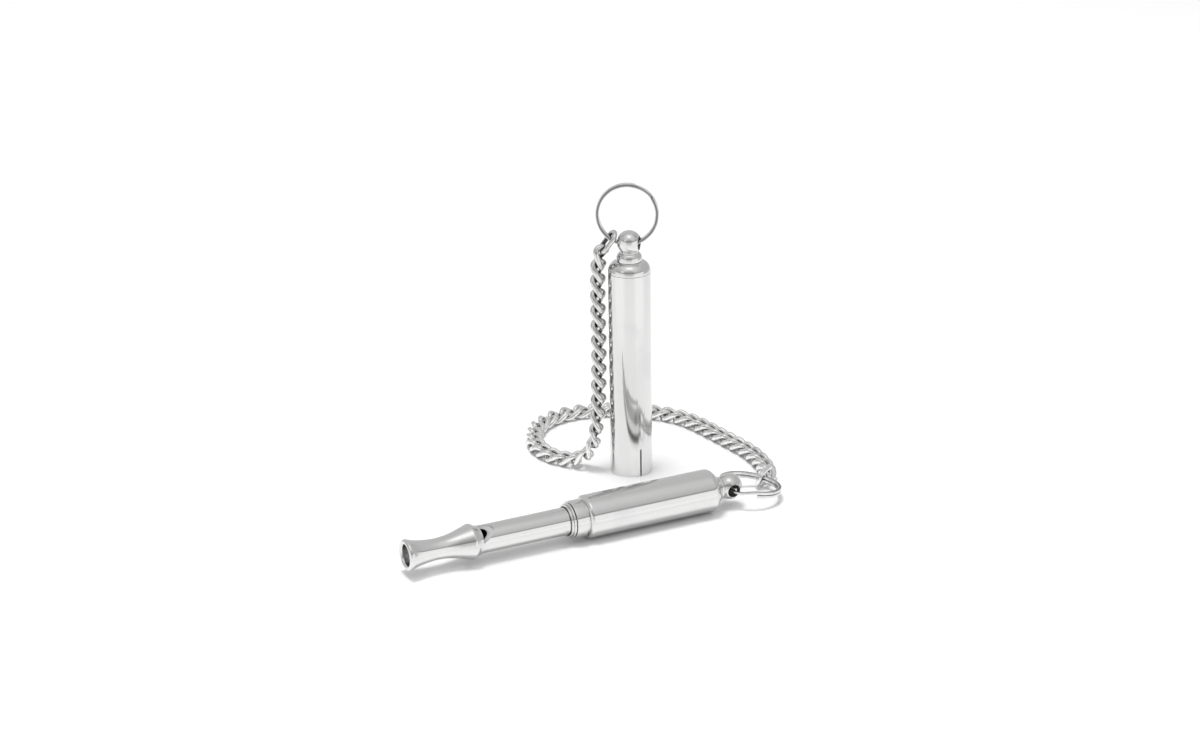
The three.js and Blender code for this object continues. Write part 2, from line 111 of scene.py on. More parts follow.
class Body(Enum):
    """Bodies of the frame that the pieces ride on."""

    BARREL = "barrel_body"
    TUBE = "tube_body"
    NUT = "nut_body"
    WHISTLE_RING = "whistle_ring_body"
    CHAIN = "chain_body"
    CAP = "cap_body"
    CAP_RING = "cap_ring_body"


class Grain(Enum):
    """Which way a piece was turned or drawn, as the number of fine lines per metre along X, Y and Z."""

    ALONG_X = (9000.0, 220.0, 220.0)
    ALONG_Z = (220.0, 220.0, 9000.0)


def to_frame(points: np.ndarray) -> np.ndarray:
    """Points in millimetres as metres of the frame: less the frame's middle, then scaled."""
    return (np.asarray(points, dtype=float) - [MIDDLE_X, MIDDLE_Y, 0.0]) * MILLIMETRE


def unit(vector: Sequence[float]) -> np.ndarray:
    """A vector's direction, or the directions of an array of vectors."""
    array = np.asarray(vector, dtype=float)
    return array / np.linalg.norm(array, axis=-1, keepdims=True)


def level(angle: float) -> np.ndarray:
    """Level direction at an angle in radians from X towards Y."""
    return np.array([cos(angle), sin(angle), 0.0])


def even(spots: float) -> Point:
    """The same number of spots per metre along X, Y and Z."""
    return (spots, spots, spots)


# Outlines


def arc(ring: float, at: float, radius: float, start: float, end: float, steps: int) -> np.ndarray:
    """Arc of an outline: radius plus sine across, minus cosine along, for angles spread evenly.

    Args:
        ring: Distance of the arc's centre from the axis.
        at: Place of the arc's centre along the axis.
        radius: Radius of the arc.
        start: First angle in degrees, counted from straight back along the axis.
        end: Last angle in degrees.
        steps: Number of spans.

    Returns:
        Points of the arc, one row of radius and distance each.
    """
    angle = np.radians(np.linspace(start, end, steps + 1))
    return np.column_stack([ring + radius * np.sin(angle), at - radius * np.cos(angle)])


def flowing(points: Sequence[Sequence[float]], steps: int) -> np.ndarray:
    """Smooth line through points: cubic spans whose slopes are central differences over the chord lengths.

    Args:
        points: Rows of radius and distance.
        steps: Number of spans of the result.

    Returns:
        Points spread evenly over the chord length.
    """
    knots = np.asarray(points, dtype=float)
    chords = np.linalg.norm(np.diff(knots, axis=0), axis=1)
    place = np.concatenate([[0.0], np.cumsum(chords)])
    slope = np.gradient(knots, place, axis=0)
    wanted = np.linspace(0.0, place[-1], steps + 1)
    span = np.clip(np.searchsorted(place, wanted, side="right") - 1, 0, len(chords) - 1)
    width = chords[span][:, None]
    share = (wanted - place[span])[:, None] / width
    square = share**2
    cube = share**3
    start = (2 * cube - 3 * square + 1) * knots[span] + (cube - 2 * square + share) * width * slope[span]
    end = (3 * square - 2 * cube) * knots[span + 1] + (cube - square) * width * slope[span + 1]
    return start + end


def eased(corners: Sequence[Sequence[float]], steps: int = 5) -> np.ndarray:
    """Broken line with rounded corners: each corner becomes a quadratic curve between points beside it.

    Args:
        corners: Rows of radius, distance and the rounding's reach along each side. Both ends stay sharp.
        steps: Number of spans in each rounding.

    Returns:
        Points of the line without repeats.
    """
    rows = np.asarray(corners, dtype=float)
    middle = rows[:, :2]
    reach = rows[:, 2:3].copy()
    reach[[0, -1]] = 0.0
    back = np.vstack([middle[:1], middle[:-1]]) - middle
    onward = np.vstack([middle[1:], middle[-1:]]) - middle
    back_length = np.maximum(np.linalg.norm(back, axis=1, keepdims=True), NO_LENGTH)
    onward_length = np.maximum(np.linalg.norm(onward, axis=1, keepdims=True), NO_LENGTH)
    first = (middle + back / back_length * reach)[:, None]
    last = (middle + onward / onward_length * reach)[:, None]
    share = np.linspace(0.0, 1.0, steps + 1)[None, :, None]
    curves = (1 - share) ** 2 * first + 2 * share * (1 - share) * middle[:, None] + share**2 * last
    return without_repeats(curves.reshape(-1, 2))


def without_repeats(points: np.ndarray) -> np.ndarray:
    """Drops each point that lies on the one before it."""
    gaps = np.linalg.norm(np.diff(points, axis=0), axis=1)
    return points[np.concatenate([[True], gaps > SAME_PLACE])]


def long_ring(front: np.ndarray, rear: np.ndarray, fine: np.ndarray) -> np.ndarray:
    """Outline of a long tube: front end, finely divided outer wall, rear end and finely divided bore.

    Args:
        front: Front end, from the bore to the outer wall.
        rear: Rear end, from the outer wall to the bore.
        fine: Distances at which both walls are divided behind the front end.

    Returns:
        The closed outline without repeats.
    """
    wall = np.column_stack([np.full(len(fine), front[-1, 0]), fine])
    bore = np.column_stack([np.full(len(fine), front[0, 0]), fine])[::-1]
    return without_repeats(np.vstack([front, wall[1:], rear, bore[:-1]]))


# Surfaces


@dataclass
class Skin:
    """Points and faces of a surface, in millimetres."""

    points: np.ndarray
    quads: np.ndarray
    triangles: np.ndarray = field(default_factory=lambda: np.zeros((0, 3), dtype=int))

    def joined(self, others: Iterable["Skin"]) -> "Skin":
        """Puts other surfaces beside this one.

        Args:
            others: Surfaces to add.

        Returns:
            One surface with all points and faces.
        """
        skins = [self, *others]
        starts = np.cumsum([0] + [len(skin.points) for skin in skins[:-1]])
        return Skin(
            np.vstack([skin.points for skin in skins]),
            np.vstack([skin.quads + start for skin, start in zip(skins, starts)]),
            np.vstack([skin.triangles + start for skin, start in zip(skins, starts)]),
        )

    def facing_out(self) -> "Skin":
        """Turns the faces of a closed surface outwards, by the sign of the volume that they enclose.

        Returns:
            The surface, with all its faces turned round where they faced inwards.
        """
        halves = [self.triangles, self.quads[:, [0, 1, 2]], self.quads[:, [0, 2, 3]]]
        corners = self.points[np.vstack(halves)]
        volume = np.einsum("ij,ij->i", corners[:, 0], np.cross(corners[:, 1], corners[:, 2])).sum()
        if volume < 0:
            return Skin(self.points, self.quads[:, ::-1], self.triangles[:, ::-1])
        return self

    def mesh(self, name: str) -> bpy.types.Mesh:
        """Puts the surface into a new Blender mesh, in the frame.

        Args:
            name: Name of the mesh.

        Returns:
            The mesh, with smooth faces.
        """
        outward = self.facing_out()
        data = bpy.data.meshes.new(name)
        faces = outward.quads.tolist() + outward.triangles.tolist()
        data.from_pydata(to_frame(outward.points).tolist(), [], faces)
        data.shade_smooth()
        return data


def grid_quads(rows: int, columns: int, rows_close: bool) -> np.ndarray:
    """Faces between rings of points: each joins two neighbours in a ring to the same two in the next ring.

    Args:
        rows: Number of rings.
        columns: Number of points in a ring.
        rows_close: Whether the last ring joins the first.

    Returns:
        Four point numbers for each face.
    """
    row = np.arange(rows if rows_close else rows - 1)[:, None]
    column = np.arange(columns)[None, :]
    next_row = (row + 1) % rows
    next_column = (column + 1) % columns
    corners = [
        row * columns + column,
        row * columns + next_column,
        next_row * columns + next_column,
        next_row * columns + column,
    ]
    return np.stack(corners, axis=-1).reshape(-1, 4)


def fan(ring: np.ndarray, centre: int, turned_back: bool) -> np.ndarray:
    """Triangles from one point to each side of a ring of points.

    Args:
        ring: Point numbers round the ring.
        centre: Point number of the middle.
        turned_back: Whether the triangles run the other way round.

    Returns:
        Three point numbers for each triangle.
    """
    middle = np.full(len(ring), centre)
    onward = np.roll(ring, -1)
    return np.column_stack([middle, onward, ring] if turned_back else [middle, ring, onward])


def capped_rings(points: np.ndarray, around: int, middles: np.ndarray) -> Skin:
    """Joins rings of points side by side and closes both ends with a fan from a middle point.

    Args:
        points: Points of the rings, ring after ring.
        around: Number of points in a ring.
        middles: Middle points of the first and the last ring.

    Returns:
        The closed surface.
    """
    count = len(points)
    near = fan(np.arange(around), count, True)
    far = fan(np.arange(count - around, count), count + 1, False)
    quads = grid_quads(count // around, around, False)
    return Skin(np.vstack([points, middles]), quads, np.vstack([near, far]))


@dataclass(frozen=True)
class Spindle:
    """An axis that pieces are turned about: a point on it, its direction and where the turning starts."""

    origin: np.ndarray
    along: np.ndarray
    start: np.ndarray

    def turned(self, outline: np.ndarray, steps: int) -> Skin:
        """Turns an outline about the axis: origin, plus distance along, plus radius times a circle.

        An outline that begins and ends on the axis is closed by a point at each pole, and any other outline
        is taken as a closed ring.

        Args:
            outline: Rows of radius and distance.
            steps: Number of faces round the axis.

        Returns:
            The closed surface.
        """
        angle = np.arange(steps) * (tau / steps)
        side = np.cross(self.along, self.start)
        circle = np.cos(angle)[:, None] * self.start + np.sin(angle)[:, None] * side
        capped = outline[0, 0] < ON_AXIS and outline[-1, 0] < ON_AXIS
        rows = outline[1:-1] if capped else without_repeats(outline)
        rings = self.origin + rows[:, 1, None, None] * self.along + rows[:, 0, None, None] * circle[None]
        points = rings.reshape(-1, 3)
        if not capped:
            return Skin(points, grid_quads(len(rows), steps, True))
        return capped_rings(points, steps, self.origin + outline[[0, -1], 1][:, None] * self.along)


WHISTLE_SPINDLE = Spindle(np.array([0.0, 0.0, AXIS_HEIGHT]), X_AXIS, Z_AXIS)


def prism(corners: np.ndarray, sweep: np.ndarray) -> Skin:
    """Closed prism: a flat outline, and the same outline moved by a vector, joined side by side.

    Args:
        corners: Points of the flat outline.
        sweep: Vector from the first end to the other.

    Returns:
        The closed surface.
    """
    middle = corners.mean(axis=0)
    middles = np.vstack([middle, middle + sweep])
    return capped_rings(np.vstack([corners, corners + sweep]), len(corners), middles)


# Objects and meshes


def in_scene(name: str, data: bpy.types.ID) -> bpy.types.Object:
    """Puts a new object into the scene.

    Args:
        name: Name of the object.
        data: Its mesh, camera or light.

    Returns:
        The object.
    """
    made = bpy.data.objects.new(name, data)
    bpy.context.scene.collection.objects.link(made)
    return made


def stand(made: bpy.types.Object, directions: Sequence[np.ndarray], place: Sequence[float]) -> None:
    """Stands a camera or light at a place.

    Args:
        made: Its object.
        directions: Where its own X, Y and Z point.
        place: Where it stands, in metres of the frame.
    """
    matrix = np.eye(4)
    matrix[:3, :3] = np.column_stack(directions)
    matrix[:3, 3] = place
    made.matrix_world = Matrix(matrix.tolist())


def cut_away(data: bpy.types.Mesh, cutter: Skin) -> bpy.types.Mesh:
    """Takes one closed surface out of a mesh with an exact Boolean.

    Args:
        data: Mesh to cut.
        cutter: Closed surface of what goes away.

    Returns:
        A new mesh, with the cut in it.
    """
    kept = in_scene("cut_piece", data)
    tool = in_scene("cut_tool", cutter.mesh("cut_tool"))
    step = kept.modifiers.new("cut", "BOOLEAN")
    step.operation = "DIFFERENCE"
    step.solver = "EXACT"
    step.object = tool
    view = bpy.context.evaluated_depsgraph_get()
    result = bpy.data.meshes.new_from_object(kept.evaluated_get(view))
    for item in (kept, tool):
        bpy.data.objects.remove(item)
    return result


def vectors(items: bpy.types.bpy_prop_collection, key: str) -> np.ndarray:
    """Vectors that the points or faces of a mesh hold.

    Args:
        items: The mesh's points or faces.
        key: Name of the vector.

    Returns:
        Rows of three.
    """
    rows = np.zeros(3 * len(items))
    items.foreach_get(key, rows)
    return rows.reshape(-1, 3)


def mark_dark(data: bpy.types.Mesh, values: np.ndarray) -> None:
    """Notes at each point of a mesh how much painted shade darkens it."""
    data.attributes.new(RECESS, "FLOAT", "POINT").data.foreach_set("value", values)


# Shader values


class Value:
    """A shader socket that holds a number. Sums and products of it add Math nodes."""

    def __init__(self, shader: "Shader", socket: bpy.types.NodeSocket) -> None:
        """Wraps a socket of a shader."""
        self.shader = shader
        self.socket = socket

    def _math(self, operation: str, first: Any, second: Any) -> "Value":
        """Adds one Math node for two numbers or sockets."""
        node = self.shader.node("ShaderNodeMath", {"operation": operation}, {0: first, 1: second})
        return Value(self.shader, node.outputs[0])

    def __add__(self, other: Any) -> "Value":
        """This plus another."""
        return self._math("ADD", self, other)

    def __radd__(self, other: Any) -> "Value":
        """Another plus this."""
        return self._math("ADD", other, self)

    def __sub__(self, other: Any) -> "Value":
        """This less another."""
        return self._math("SUBTRACT", self, other)

    def __rsub__(self, other: Any) -> "Value":
        """Another less this."""
        return self._math("SUBTRACT", other, self)

    def __mul__(self, other: Any) -> "Value":
        """This times another."""
        return self._math("MULTIPLY", self, other)

    def __rmul__(self, other: Any) -> "Value":
        """Another times this."""
        return self._math("MULTIPLY", other, self)


class Shader:
    """Nodes around the main shader of a material or of the room."""

    def __init__(self, owner: Union[bpy.types.Material, bpy.types.World], surface: str, place: str) -> None:
        """Starts the nodes.

        Args:
            owner: Material or world that holds them.
            surface: Name of its main shader node.
            place: Which texture coordinate the patterns read.
        """
        owner.use_nodes = True
        self.owner = owner
        self.tree = owner.node_tree
        self.surface = self.tree.nodes[surface]
        self.place = self.node("ShaderNodeTexCoord", {}, {}).outputs[place]

    @classmethod
    def of_material(cls, name: str) -> "Shader":
        """Nodes of a new material, whose patterns lie on the object."""
        return cls(bpy.data.materials.new(name), "Principled BSDF", "Object")

    @classmethod
    def of_room(cls, name: str) -> "Shader":
        """Nodes of a new world, whose patterns read the direction of sight."""
        return cls(bpy.data.worlds.new(name), "Background", "Generated")

    def node(self, kind: str, settings: dict[str, Any], sockets: dict[Any, Any]) -> bpy.types.Node:
        """Adds a node.

        Args:
            kind: Type of the node.
            settings: Properties that are set first.
            sockets: Values or links of its sockets, by name or number.

        Returns:
            The new node.
        """
        made = self.tree.nodes.new(kind)
        for key, setting in settings.items():
            setattr(made, key, setting)
        for key, value in sockets.items():
            self.link(value, made.inputs[key])
        return made

    def link(self, value: Any, socket: bpy.types.NodeSocket) -> None:
        """Sets a socket to a number, or links it to a value or socket.

        Args:
            value: Number, colour, vector, Value or socket.
            socket: Input to set.
        """
        if isinstance(value, Value):
            self.tree.links.new(value.socket, socket)
        elif isinstance(value, bpy.types.NodeSocket):
            self.tree.links.new(value, socket)
        else:
            socket.default_value = value

    def noise(self, spots: Point, detail: float) -> Value:
        """Noise over the object, with its own number of spots per metre along each axis.

        Args:
            spots: Spots per metre along X, Y and Z.
            detail: How many finer layers lie on it.

        Returns:
            Value between 0 and 1, mostly near a half.
        """
        stretched = self.node("ShaderNodeVectorMath", {"operation": "MULTIPLY"}, {0: self.place, 1: spots})
        made = self.node(
            "ShaderNodeTexNoise",
            {"noise_dimensions": "3D"},
            {"Vector": stretched.outputs["Vector"], "Scale": 1.0, "Detail": detail, "Roughness": 0.55},
        )
        return Value(self, made.outputs["Fac"])

    def between(self, value: Value, low: float, high: float) -> Value:
        """How far a value lies between two others: 0 below, 1 above, and a smooth step between.

        Args:
            value: Value to map.
            low: Where the step begins.
            high: Where it ends.

        Returns:
            The share of the way.
        """
        mapped = self.node(
            "ShaderNodeMapRange",
            {"interpolation_type": "SMOOTHSTEP"},
            {"Value": value, "From Min": low, "From Max": high, "To Min": 0.0, "To Max": 1.0},
        )
        return Value(self, mapped.outputs["Result"])

    def blend(self, share: Value, first: Any, second: Any) -> bpy.types.NodeSocket:
        """Mixes two colours, each given by its numbers or by a socket.

        Args:
            share: Share of the second colour.
            first: First colour.
            second: Second colour.

        Returns:
            The mixed colour's socket.
        """
        mixed = self.node("ShaderNodeMix", {"data_type": "RGBA"}, {0: share, 6: first, 7: second})
        return mixed.outputs[2]

    def bump(self, height: Value, depth: float, strength: float) -> bpy.types.NodeSocket:
        """Turns a height into a normal.

        Args:
            height: Height from 0 to 1.
            depth: Depth of the relief in metres.
            strength: Share of the effect.

        Returns:
            The normal's socket.
        """
        made = self.node("ShaderNodeBump", {}, {"Height": height, "Distance": depth, "Strength": strength})
        return made.outputs["Normal"]

    def towards(self, direction: Sequence[float]) -> Value:
        """How far the place reaches along a direction: the dot product of the two."""
        made = self.node(
            "ShaderNodeVectorMath", {"operation": "DOT_PRODUCT"}, {0: self.place, 1: tuple(direction)}
        )
        return Value(self, made.outputs["Value"])

    def attribute(self, name: str) -> Value:
        """Value that a mesh carries at its points, 0 where it carries none."""
        made = self.node("ShaderNodeAttribute", {"attribute_name": name}, {})
        return Value(self, made.outputs["Fac"])

    def dress(self, sockets: dict[str, Any]) -> Union[bpy.types.Material, bpy.types.World]:
        """Sets the main shader's sockets.

        Args:
            sockets: Values or links by socket name.

        Returns:
            The finished material or world.
        """
        for key, value in sockets.items():
            self.link(value, self.surface.inputs[key])
        return self.owner


# Finishes


@dataclass(frozen=True)
class PolishedNickel:
    """Bright nickel plate: clear reflections, faint turning lines, hand smudges and hair scratches."""

    name: str
    grain: Grain
    bright: Colour = (0.74, 0.74, 0.735, 1.0)
    dull: Colour = (0.69, 0.692, 0.69, 1.0)
    clear_roughness: float = 0.07
    smudged_roughness: float = 0.15
    smudge_spots: Point = even(140.0)
    smudge_span: Span = (0.52, 0.72)
    scratch_spots: Point = (900.0, 5200.0, 2600.0)
    scratch_span: Span = (0.66, 0.74)
    line_depth: float = 0.000004
    line_strength: float = 0.22

    def material(self) -> bpy.types.Material:
        """Builds the plate's material: smudges over large spots, lines along the turning, scratches across.

        Returns:
            The material.
        """
        shader = Shader.of_material(self.name)
        smudge = shader.between(shader.noise(self.smudge_spots, detail=3.0), *self.smudge_span)
        lines = shader.noise(self.grain.value, detail=2.0)
        scratch = shader.between(shader.noise(self.scratch_spots, detail=1.0), *self.scratch_span)
        gloss = self.clear_roughness + (self.smudged_roughness - self.clear_roughness) * smudge
        return shader.dress(
            {
                "Base Color": shader.blend(smudge * 0.6 + scratch * 0.4, self.bright, self.dull),
                "Metallic": 1.0,
                "Roughness": gloss + 0.03 * lines + 0.05 * scratch,
                "Normal": shader.bump(lines - 0.5 * scratch, self.line_depth, self.line_strength),
            }
        )


@dataclass(frozen=True)
class ShadedBore:
    """Inside of a tube: matt metal with streaks along the drawing, its near-black greys painted shade."""

    name: str = "shaded_bore"
    # Near-black greys: painted shade inside the bore
    dark: Colour = (0.045, 0.043, 0.04, 1.0)
    grey: Colour = (0.13, 0.125, 0.12, 1.0)
    streak_spots: Point = (160.0, 1500.0, 1500.0)
    streak_depth: float = 0.00002
    streak_strength: float = 0.3

    def material(self) -> bpy.types.Material:
        """Builds the bore's material: streaks along the tube between two dark greys of painted shade.

        Returns:
            The material.
        """
        shader = Shader.of_material(self.name)
        streak = shader.noise(self.streak_spots, detail=3.0)
        return shader.dress(
            {
                "Base Color": shader.blend(streak, self.dark, self.grey),
                "Metallic": 0.7,
                "Roughness": 0.45 + 0.25 * streak,
                "Normal": shader.bump(streak, self.streak_depth, self.streak_strength),
            }
        )


@dataclass(frozen=True)
class BrightWire:
    """Plated wire of rings and links: bright, with rubbed spots, painted shade in recesses and faint drawing
    marks.
    """

    name: str
    bright: Colour = (0.86, 0.86, 0.855, 1.0)
    rubbed: Colour = (0.7, 0.7, 0.695, 1.0)
    # Dark grey painted where the mark is high: painted shade in the recesses
    painted_shade: Colour = (0.1, 0.1, 0.1, 1.0)
    clear_roughness: float = 0.09
    rubbed_roughness: float = 0.24
    rubbed_spots: Point = even(620.0)
    rubbed_span: Span = (0.48, 0.7)
    painted_shade_span: Span = (0.2, 0.75)
    pit_spots: Point = even(5200.0)
    pit_depth: float = 0.00001
    pit_strength: float = 0.25

    def material(self) -> bpy.types.Material:
        """Builds the wire: rubbed spots a millimetre wide, fine pits, and painted shade where it is marked.

        Returns:
            The material.
        """
        shader = Shader.of_material(self.name)
        rubbed = shader.between(shader.noise(self.rubbed_spots, detail=3.0), *self.rubbed_span)
        pits = shader.noise(self.pit_spots, detail=2.0)
        # Share of painted shade, from the mark
        painted_shade_share = shader.between(shader.attribute(RECESS), *self.painted_shade_span)
        gloss = self.clear_roughness + (self.rubbed_roughness - self.clear_roughness) * rubbed
        clean = shader.blend(rubbed, self.bright, self.rubbed)
        return shader.dress(
            {
                "Base Color": shader.blend(painted_shade_share, clean, self.painted_shade),
                "Metallic": 1.0,
                "Roughness": gloss + 0.1 * painted_shade_share,
                "Normal": shader.bump(pits, self.pit_depth, self.pit_strength),
            }
        )


@dataclass(frozen=True)
class TurnedBrass:
    """Turned brass of the inner pieces, with tool rings along the whistle and darker stains."""

    name: str
    ring_spacing: float
    ring_depth: float
    clean: Colour = (0.72, 0.5, 0.2, 1.0)
    stained: Colour = (0.4, 0.25, 0.09, 1.0)
    stain_spots: Point = even(420.0)
    stain_span: Span = (0.45, 0.7)
    waves_per_scale: float = 20.0 / tau
    ring_strength: float = 0.8

    def material(self) -> bpy.types.Material:
        """Builds the brass: rings at an even spacing along X, and stains in spots.

        Returns:
            The material.
        """
        shader = Shader.of_material(self.name)
        scale = 1.0 / self.waves_per_scale / (self.ring_spacing * MILLIMETRE)
        rings = shader.node(
            "ShaderNodeTexWave",
            {"wave_type": "BANDS", "bands_direction": "X", "wave_profile": "SIN"},
            {"Vector": shader.place, "Scale": scale, "Distortion": 0.0},
        )
        height = Value(shader, rings.outputs["Fac"])
        stain = shader.between(shader.noise(self.stain_spots, detail=4.0), *self.stain_span)
        return shader.dress(
            {
                "Base Color": shader.blend(stain, self.clean, self.stained),
                "Metallic": 1.0,
                "Roughness": 0.22 + 0.2 * stain,
                "Normal": shader.bump(height, self.ring_depth * MILLIMETRE, self.ring_strength),
            }
        )


@dataclass(frozen=True)
class SatinBoard:
    """White board of the studio floor, slightly glossy, with painted light that whitens it away from the
    object.
    """

    name: str = "satin_board"
    near: Colour = (0.92, 0.92, 0.921, 1.0)
    # Whiter far board: painted light where the lamps reach less
    far: Colour = (1.0, 1.0, 1.0, 1.0)
    painted_light_span: Span = (0.04, 0.2)
    cloud_spots: Point = even(9.0)

    def material(self) -> bpy.types.Material:
        """Builds the board: painted light whitens it from near to far by the square of the distance, with a
        faintly cloudy gloss.

        Returns:
            The material.
        """
        shader = Shader.of_material(self.name)
        cloud = shader.noise(self.cloud_spots, detail=2.0)
        aside = shader.towards(X_AXIS)
        away = shader.towards(Y_AXIS)
        distance = shader.between(aside * aside + away * away, *self.painted_light_span)
        return shader.dress(
            {
                "Base Color": shader.blend(distance, self.near, self.far),
                "Roughness": 0.04 + 0.03 * cloud,
                "Specular IOR Level": 1.0,
            }
        )


# Pieces


@dataclass(frozen=True)
class Seat:
    """What a finished piece belongs to: its body, its record slot and the nodes that it stands for."""

    body: Body
    slot: Slot
    nodes: tuple[str, ...]


def add_piece(
    name: str,
    data: bpy.types.Mesh,
    seat: Seat,
    materials: Sequence[bpy.types.Material],
    crease: float = 32.0,
) -> bpy.types.Object:
    """Makes a mesh a finished piece of the object.

    Args:
        name: Name of the piece.
        data: Its mesh, in the frame.
        seat: Its body and nodes, and a slot that is not used.
        materials: Its finishes, in slot order.
        crease: Angle in degrees past which an edge stays sharp.

    Returns:
        The piece's object.
    """
    data.name = name
    data.materials.clear()
    for material in materials:
        data.materials.append(material)
    data.set_sharp_from_angle(angle=radians(crease))
    piece = in_scene(name, data)
    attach(piece, seat.body.value)
    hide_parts(*seat.nodes)
    LOG.info("%s: %d faces on %s", name, len(data.polygons), seat.body.value)
    return piece


def dress_inside(data: bpy.types.Mesh, axis: Spindle, reach: float, inward: float = -0.6) -> None:
    """Gives the second finish to the faces that look towards an axis and lie near it.

    Args:
        data: Mesh to dress.
        axis: The axis.
        reach: How far from the axis such faces lie, in millimetres.
        inward: Cosine of the angle past which a face looks inwards.
    """
    offset = vectors(data.polygons, "center") - to_frame(axis.origin)
    across = offset - (offset @ axis.along)[:, None] * axis.along
    distance = np.maximum(np.linalg.norm(across, axis=1), NO_LENGTH)
    outward = np.einsum("ij,ij->i", vectors(data.polygons, "normal"), across) / distance
    inside = (outward < inward) & (distance < reach * MILLIMETRE)
    data.polygons.foreach_set("material_index", inside.astype(np.int32))


@dataclass(frozen=True)
class Lamp:
    """Square soft light at a place in metres of the frame, which polished metal may mirror."""

    name: str
    place: Point
    width: float
    watts: float
    mirrored: bool = False
    aim: Point = (0.0, 0.0, 0.02)
    steep: float = 0.95

    def hang(self) -> bpy.types.Object:
        """Hangs the lamp so that it faces its aim, out of the camera's sight.

        Returns:
            The lamp's object.
        """
        data = bpy.data.lights.new(self.name, "AREA")
        data.shape = "SQUARE"
        data.size = self.width
        data.energy = self.watts
        back = unit(np.subtract(self.place, self.aim))
        side = unit(np.cross(Y_AXIS if abs(back[2]) > self.steep else Z_AXIS, back))
        made = in_scene(self.name, data)
        stand(made, [side, np.cross(back, side), back], self.place)
        made.visible_glossy = self.mirrored
        made.visible_camera = False
        return made


@dataclass
class Studio:
    """Camera, floor and soft light of the photograph."""

    eye: Point = (-226.65, -555.17, 279.36)
    heading: float = radians(26.353)
    dip: float = radians(21.25)
    roll: float = radians(-0.83)
    lens: float = 90.0
    sensor: float = 36.0
    sight: float = 20.0
    floor_reach: float = 3.0
    overhead: Lamp = Lamp("overhead", (-0.08, 0.08, 1.2), 0.34, 8.8)
    main_lamp: Lamp = Lamp("main_lamp", (-0.19, -0.385, 1.012), 0.62, 0.8)
    mouth_lamp: Lamp = Lamp("mouth_lamp", (-1.0, -0.35, 0.75), 0.3, 0.12, mirrored=True)
    room_grey: float = 0.63
    glow_grey: float = 0.22
    glow_span: Span = (0.66, 0.99)
    bright_place: Point = (-0.115, -0.232, 0.966)
    bright_grey: float = 0.45
    bright_span: Span = (0.94, 0.998)
    front: Point = (-0.444, -0.896, 0.0)
    front_span: Span = (0.0, 0.25)
    gap_grey: float = 0.3
    gap_span: Span = (0.3, 0.5)
    wall_white: float = 1.1
    wall_span: Span = (0.27, 0.33)
    side_shade: float = 0.1
    side_span: Span = (0.32, 0.6)
    camera_place: Point = (-0.414, -0.835, 0.362)
    camera_shade: float = 0.4
    camera_span: Span = (0.8, 0.97)

    def camera(self) -> bpy.types.Object:
        """Sets the camera: level heading from +Y towards +X, dipped and rolled, at the photograph's place.

        Returns:
            The camera's object.
        """
        right = level(-self.heading)
        away = np.cross(Z_AXIS, right)
        forward = away * cos(self.dip) - Z_AXIS * sin(self.dip)
        up = np.cross(right, forward)
        rolled_right = cos(self.roll) * right + sin(self.roll) * up
        rolled_up = cos(self.roll) * up - sin(self.roll) * right
        data = bpy.data.cameras.new("photo_camera")
        data.lens = self.lens
        data.sensor_width = self.sensor
        data.clip_end = self.sight
        made = in_scene("photo_camera", data)
        stand(made, [rolled_right, rolled_up, -forward], to_frame(self.eye))
        bpy.context.scene.camera = made
        return made

    def floor(self) -> bpy.types.Object:
        """Lays the floor: one flat square under the object.

        Returns:
            The floor's object.
        """
        reach = self.floor_reach
        corners = [(-reach, -reach, 0.0), (reach, -reach, 0.0), (reach, reach, 0.0), (-reach, reach, 0.0)]
        data = bpy.data.meshes.new("studio_floor")
        data.from_pydata(corners, [], [(0, 1, 2, 3)])
        data.materials.append(SatinBoard().material())
        made = in_scene("studio_floor", data)
        return made

    def room(self) -> None:
        """Surrounds the scene with a grey room.

        The grey brightens round the main lamp and more so nearly overhead. A white wall stands low on the
        camera's side with a darker gap above it, the two far sides are dimmer, and so is the camera's place.
        """
        shader = Shader.of_room("studio_room")
        height = shader.towards(Z_AXIS)
        sideways = shader.towards(X_AXIS)
        front = shader.between(shader.towards(self.front), *self.front_span)
        glow = shader.between(shader.towards(unit(self.main_lamp.place)), *self.glow_span)
        camera = shader.between(shader.towards(self.camera_place), *self.camera_span)
        side = shader.between(sideways * sideways, *self.side_span)
        wall = front * (1.0 - shader.between(height, *self.wall_span))
        gap = front * (1.0 - shader.between(height, *self.gap_span))
        bright = shader.between(shader.towards(self.bright_place), *self.bright_span)
        grey = self.room_grey + self.glow_grey * glow + self.bright_grey * bright - self.gap_grey * gap
        lit = grey + (self.wall_white - self.room_grey + self.gap_grey) * wall
        strength = lit * (1.0 - self.side_shade * side) * (1.0 - self.camera_shade * camera)
        bpy.context.scene.world = shader.dress({"Color": (1.0, 1.0, 1.0, 1.0), "Strength": strength})

    def light(self) -> None:
        """Lights the scene: a grey room, a lamp overhead, a main lamp and a small one by the mouth."""
        self.room()
        for lamp in (self.overhead, self.main_lamp, self.mouth_lamp):
            lamp.hang()
        bpy.context.scene.view_settings.view_transform = "Standard"


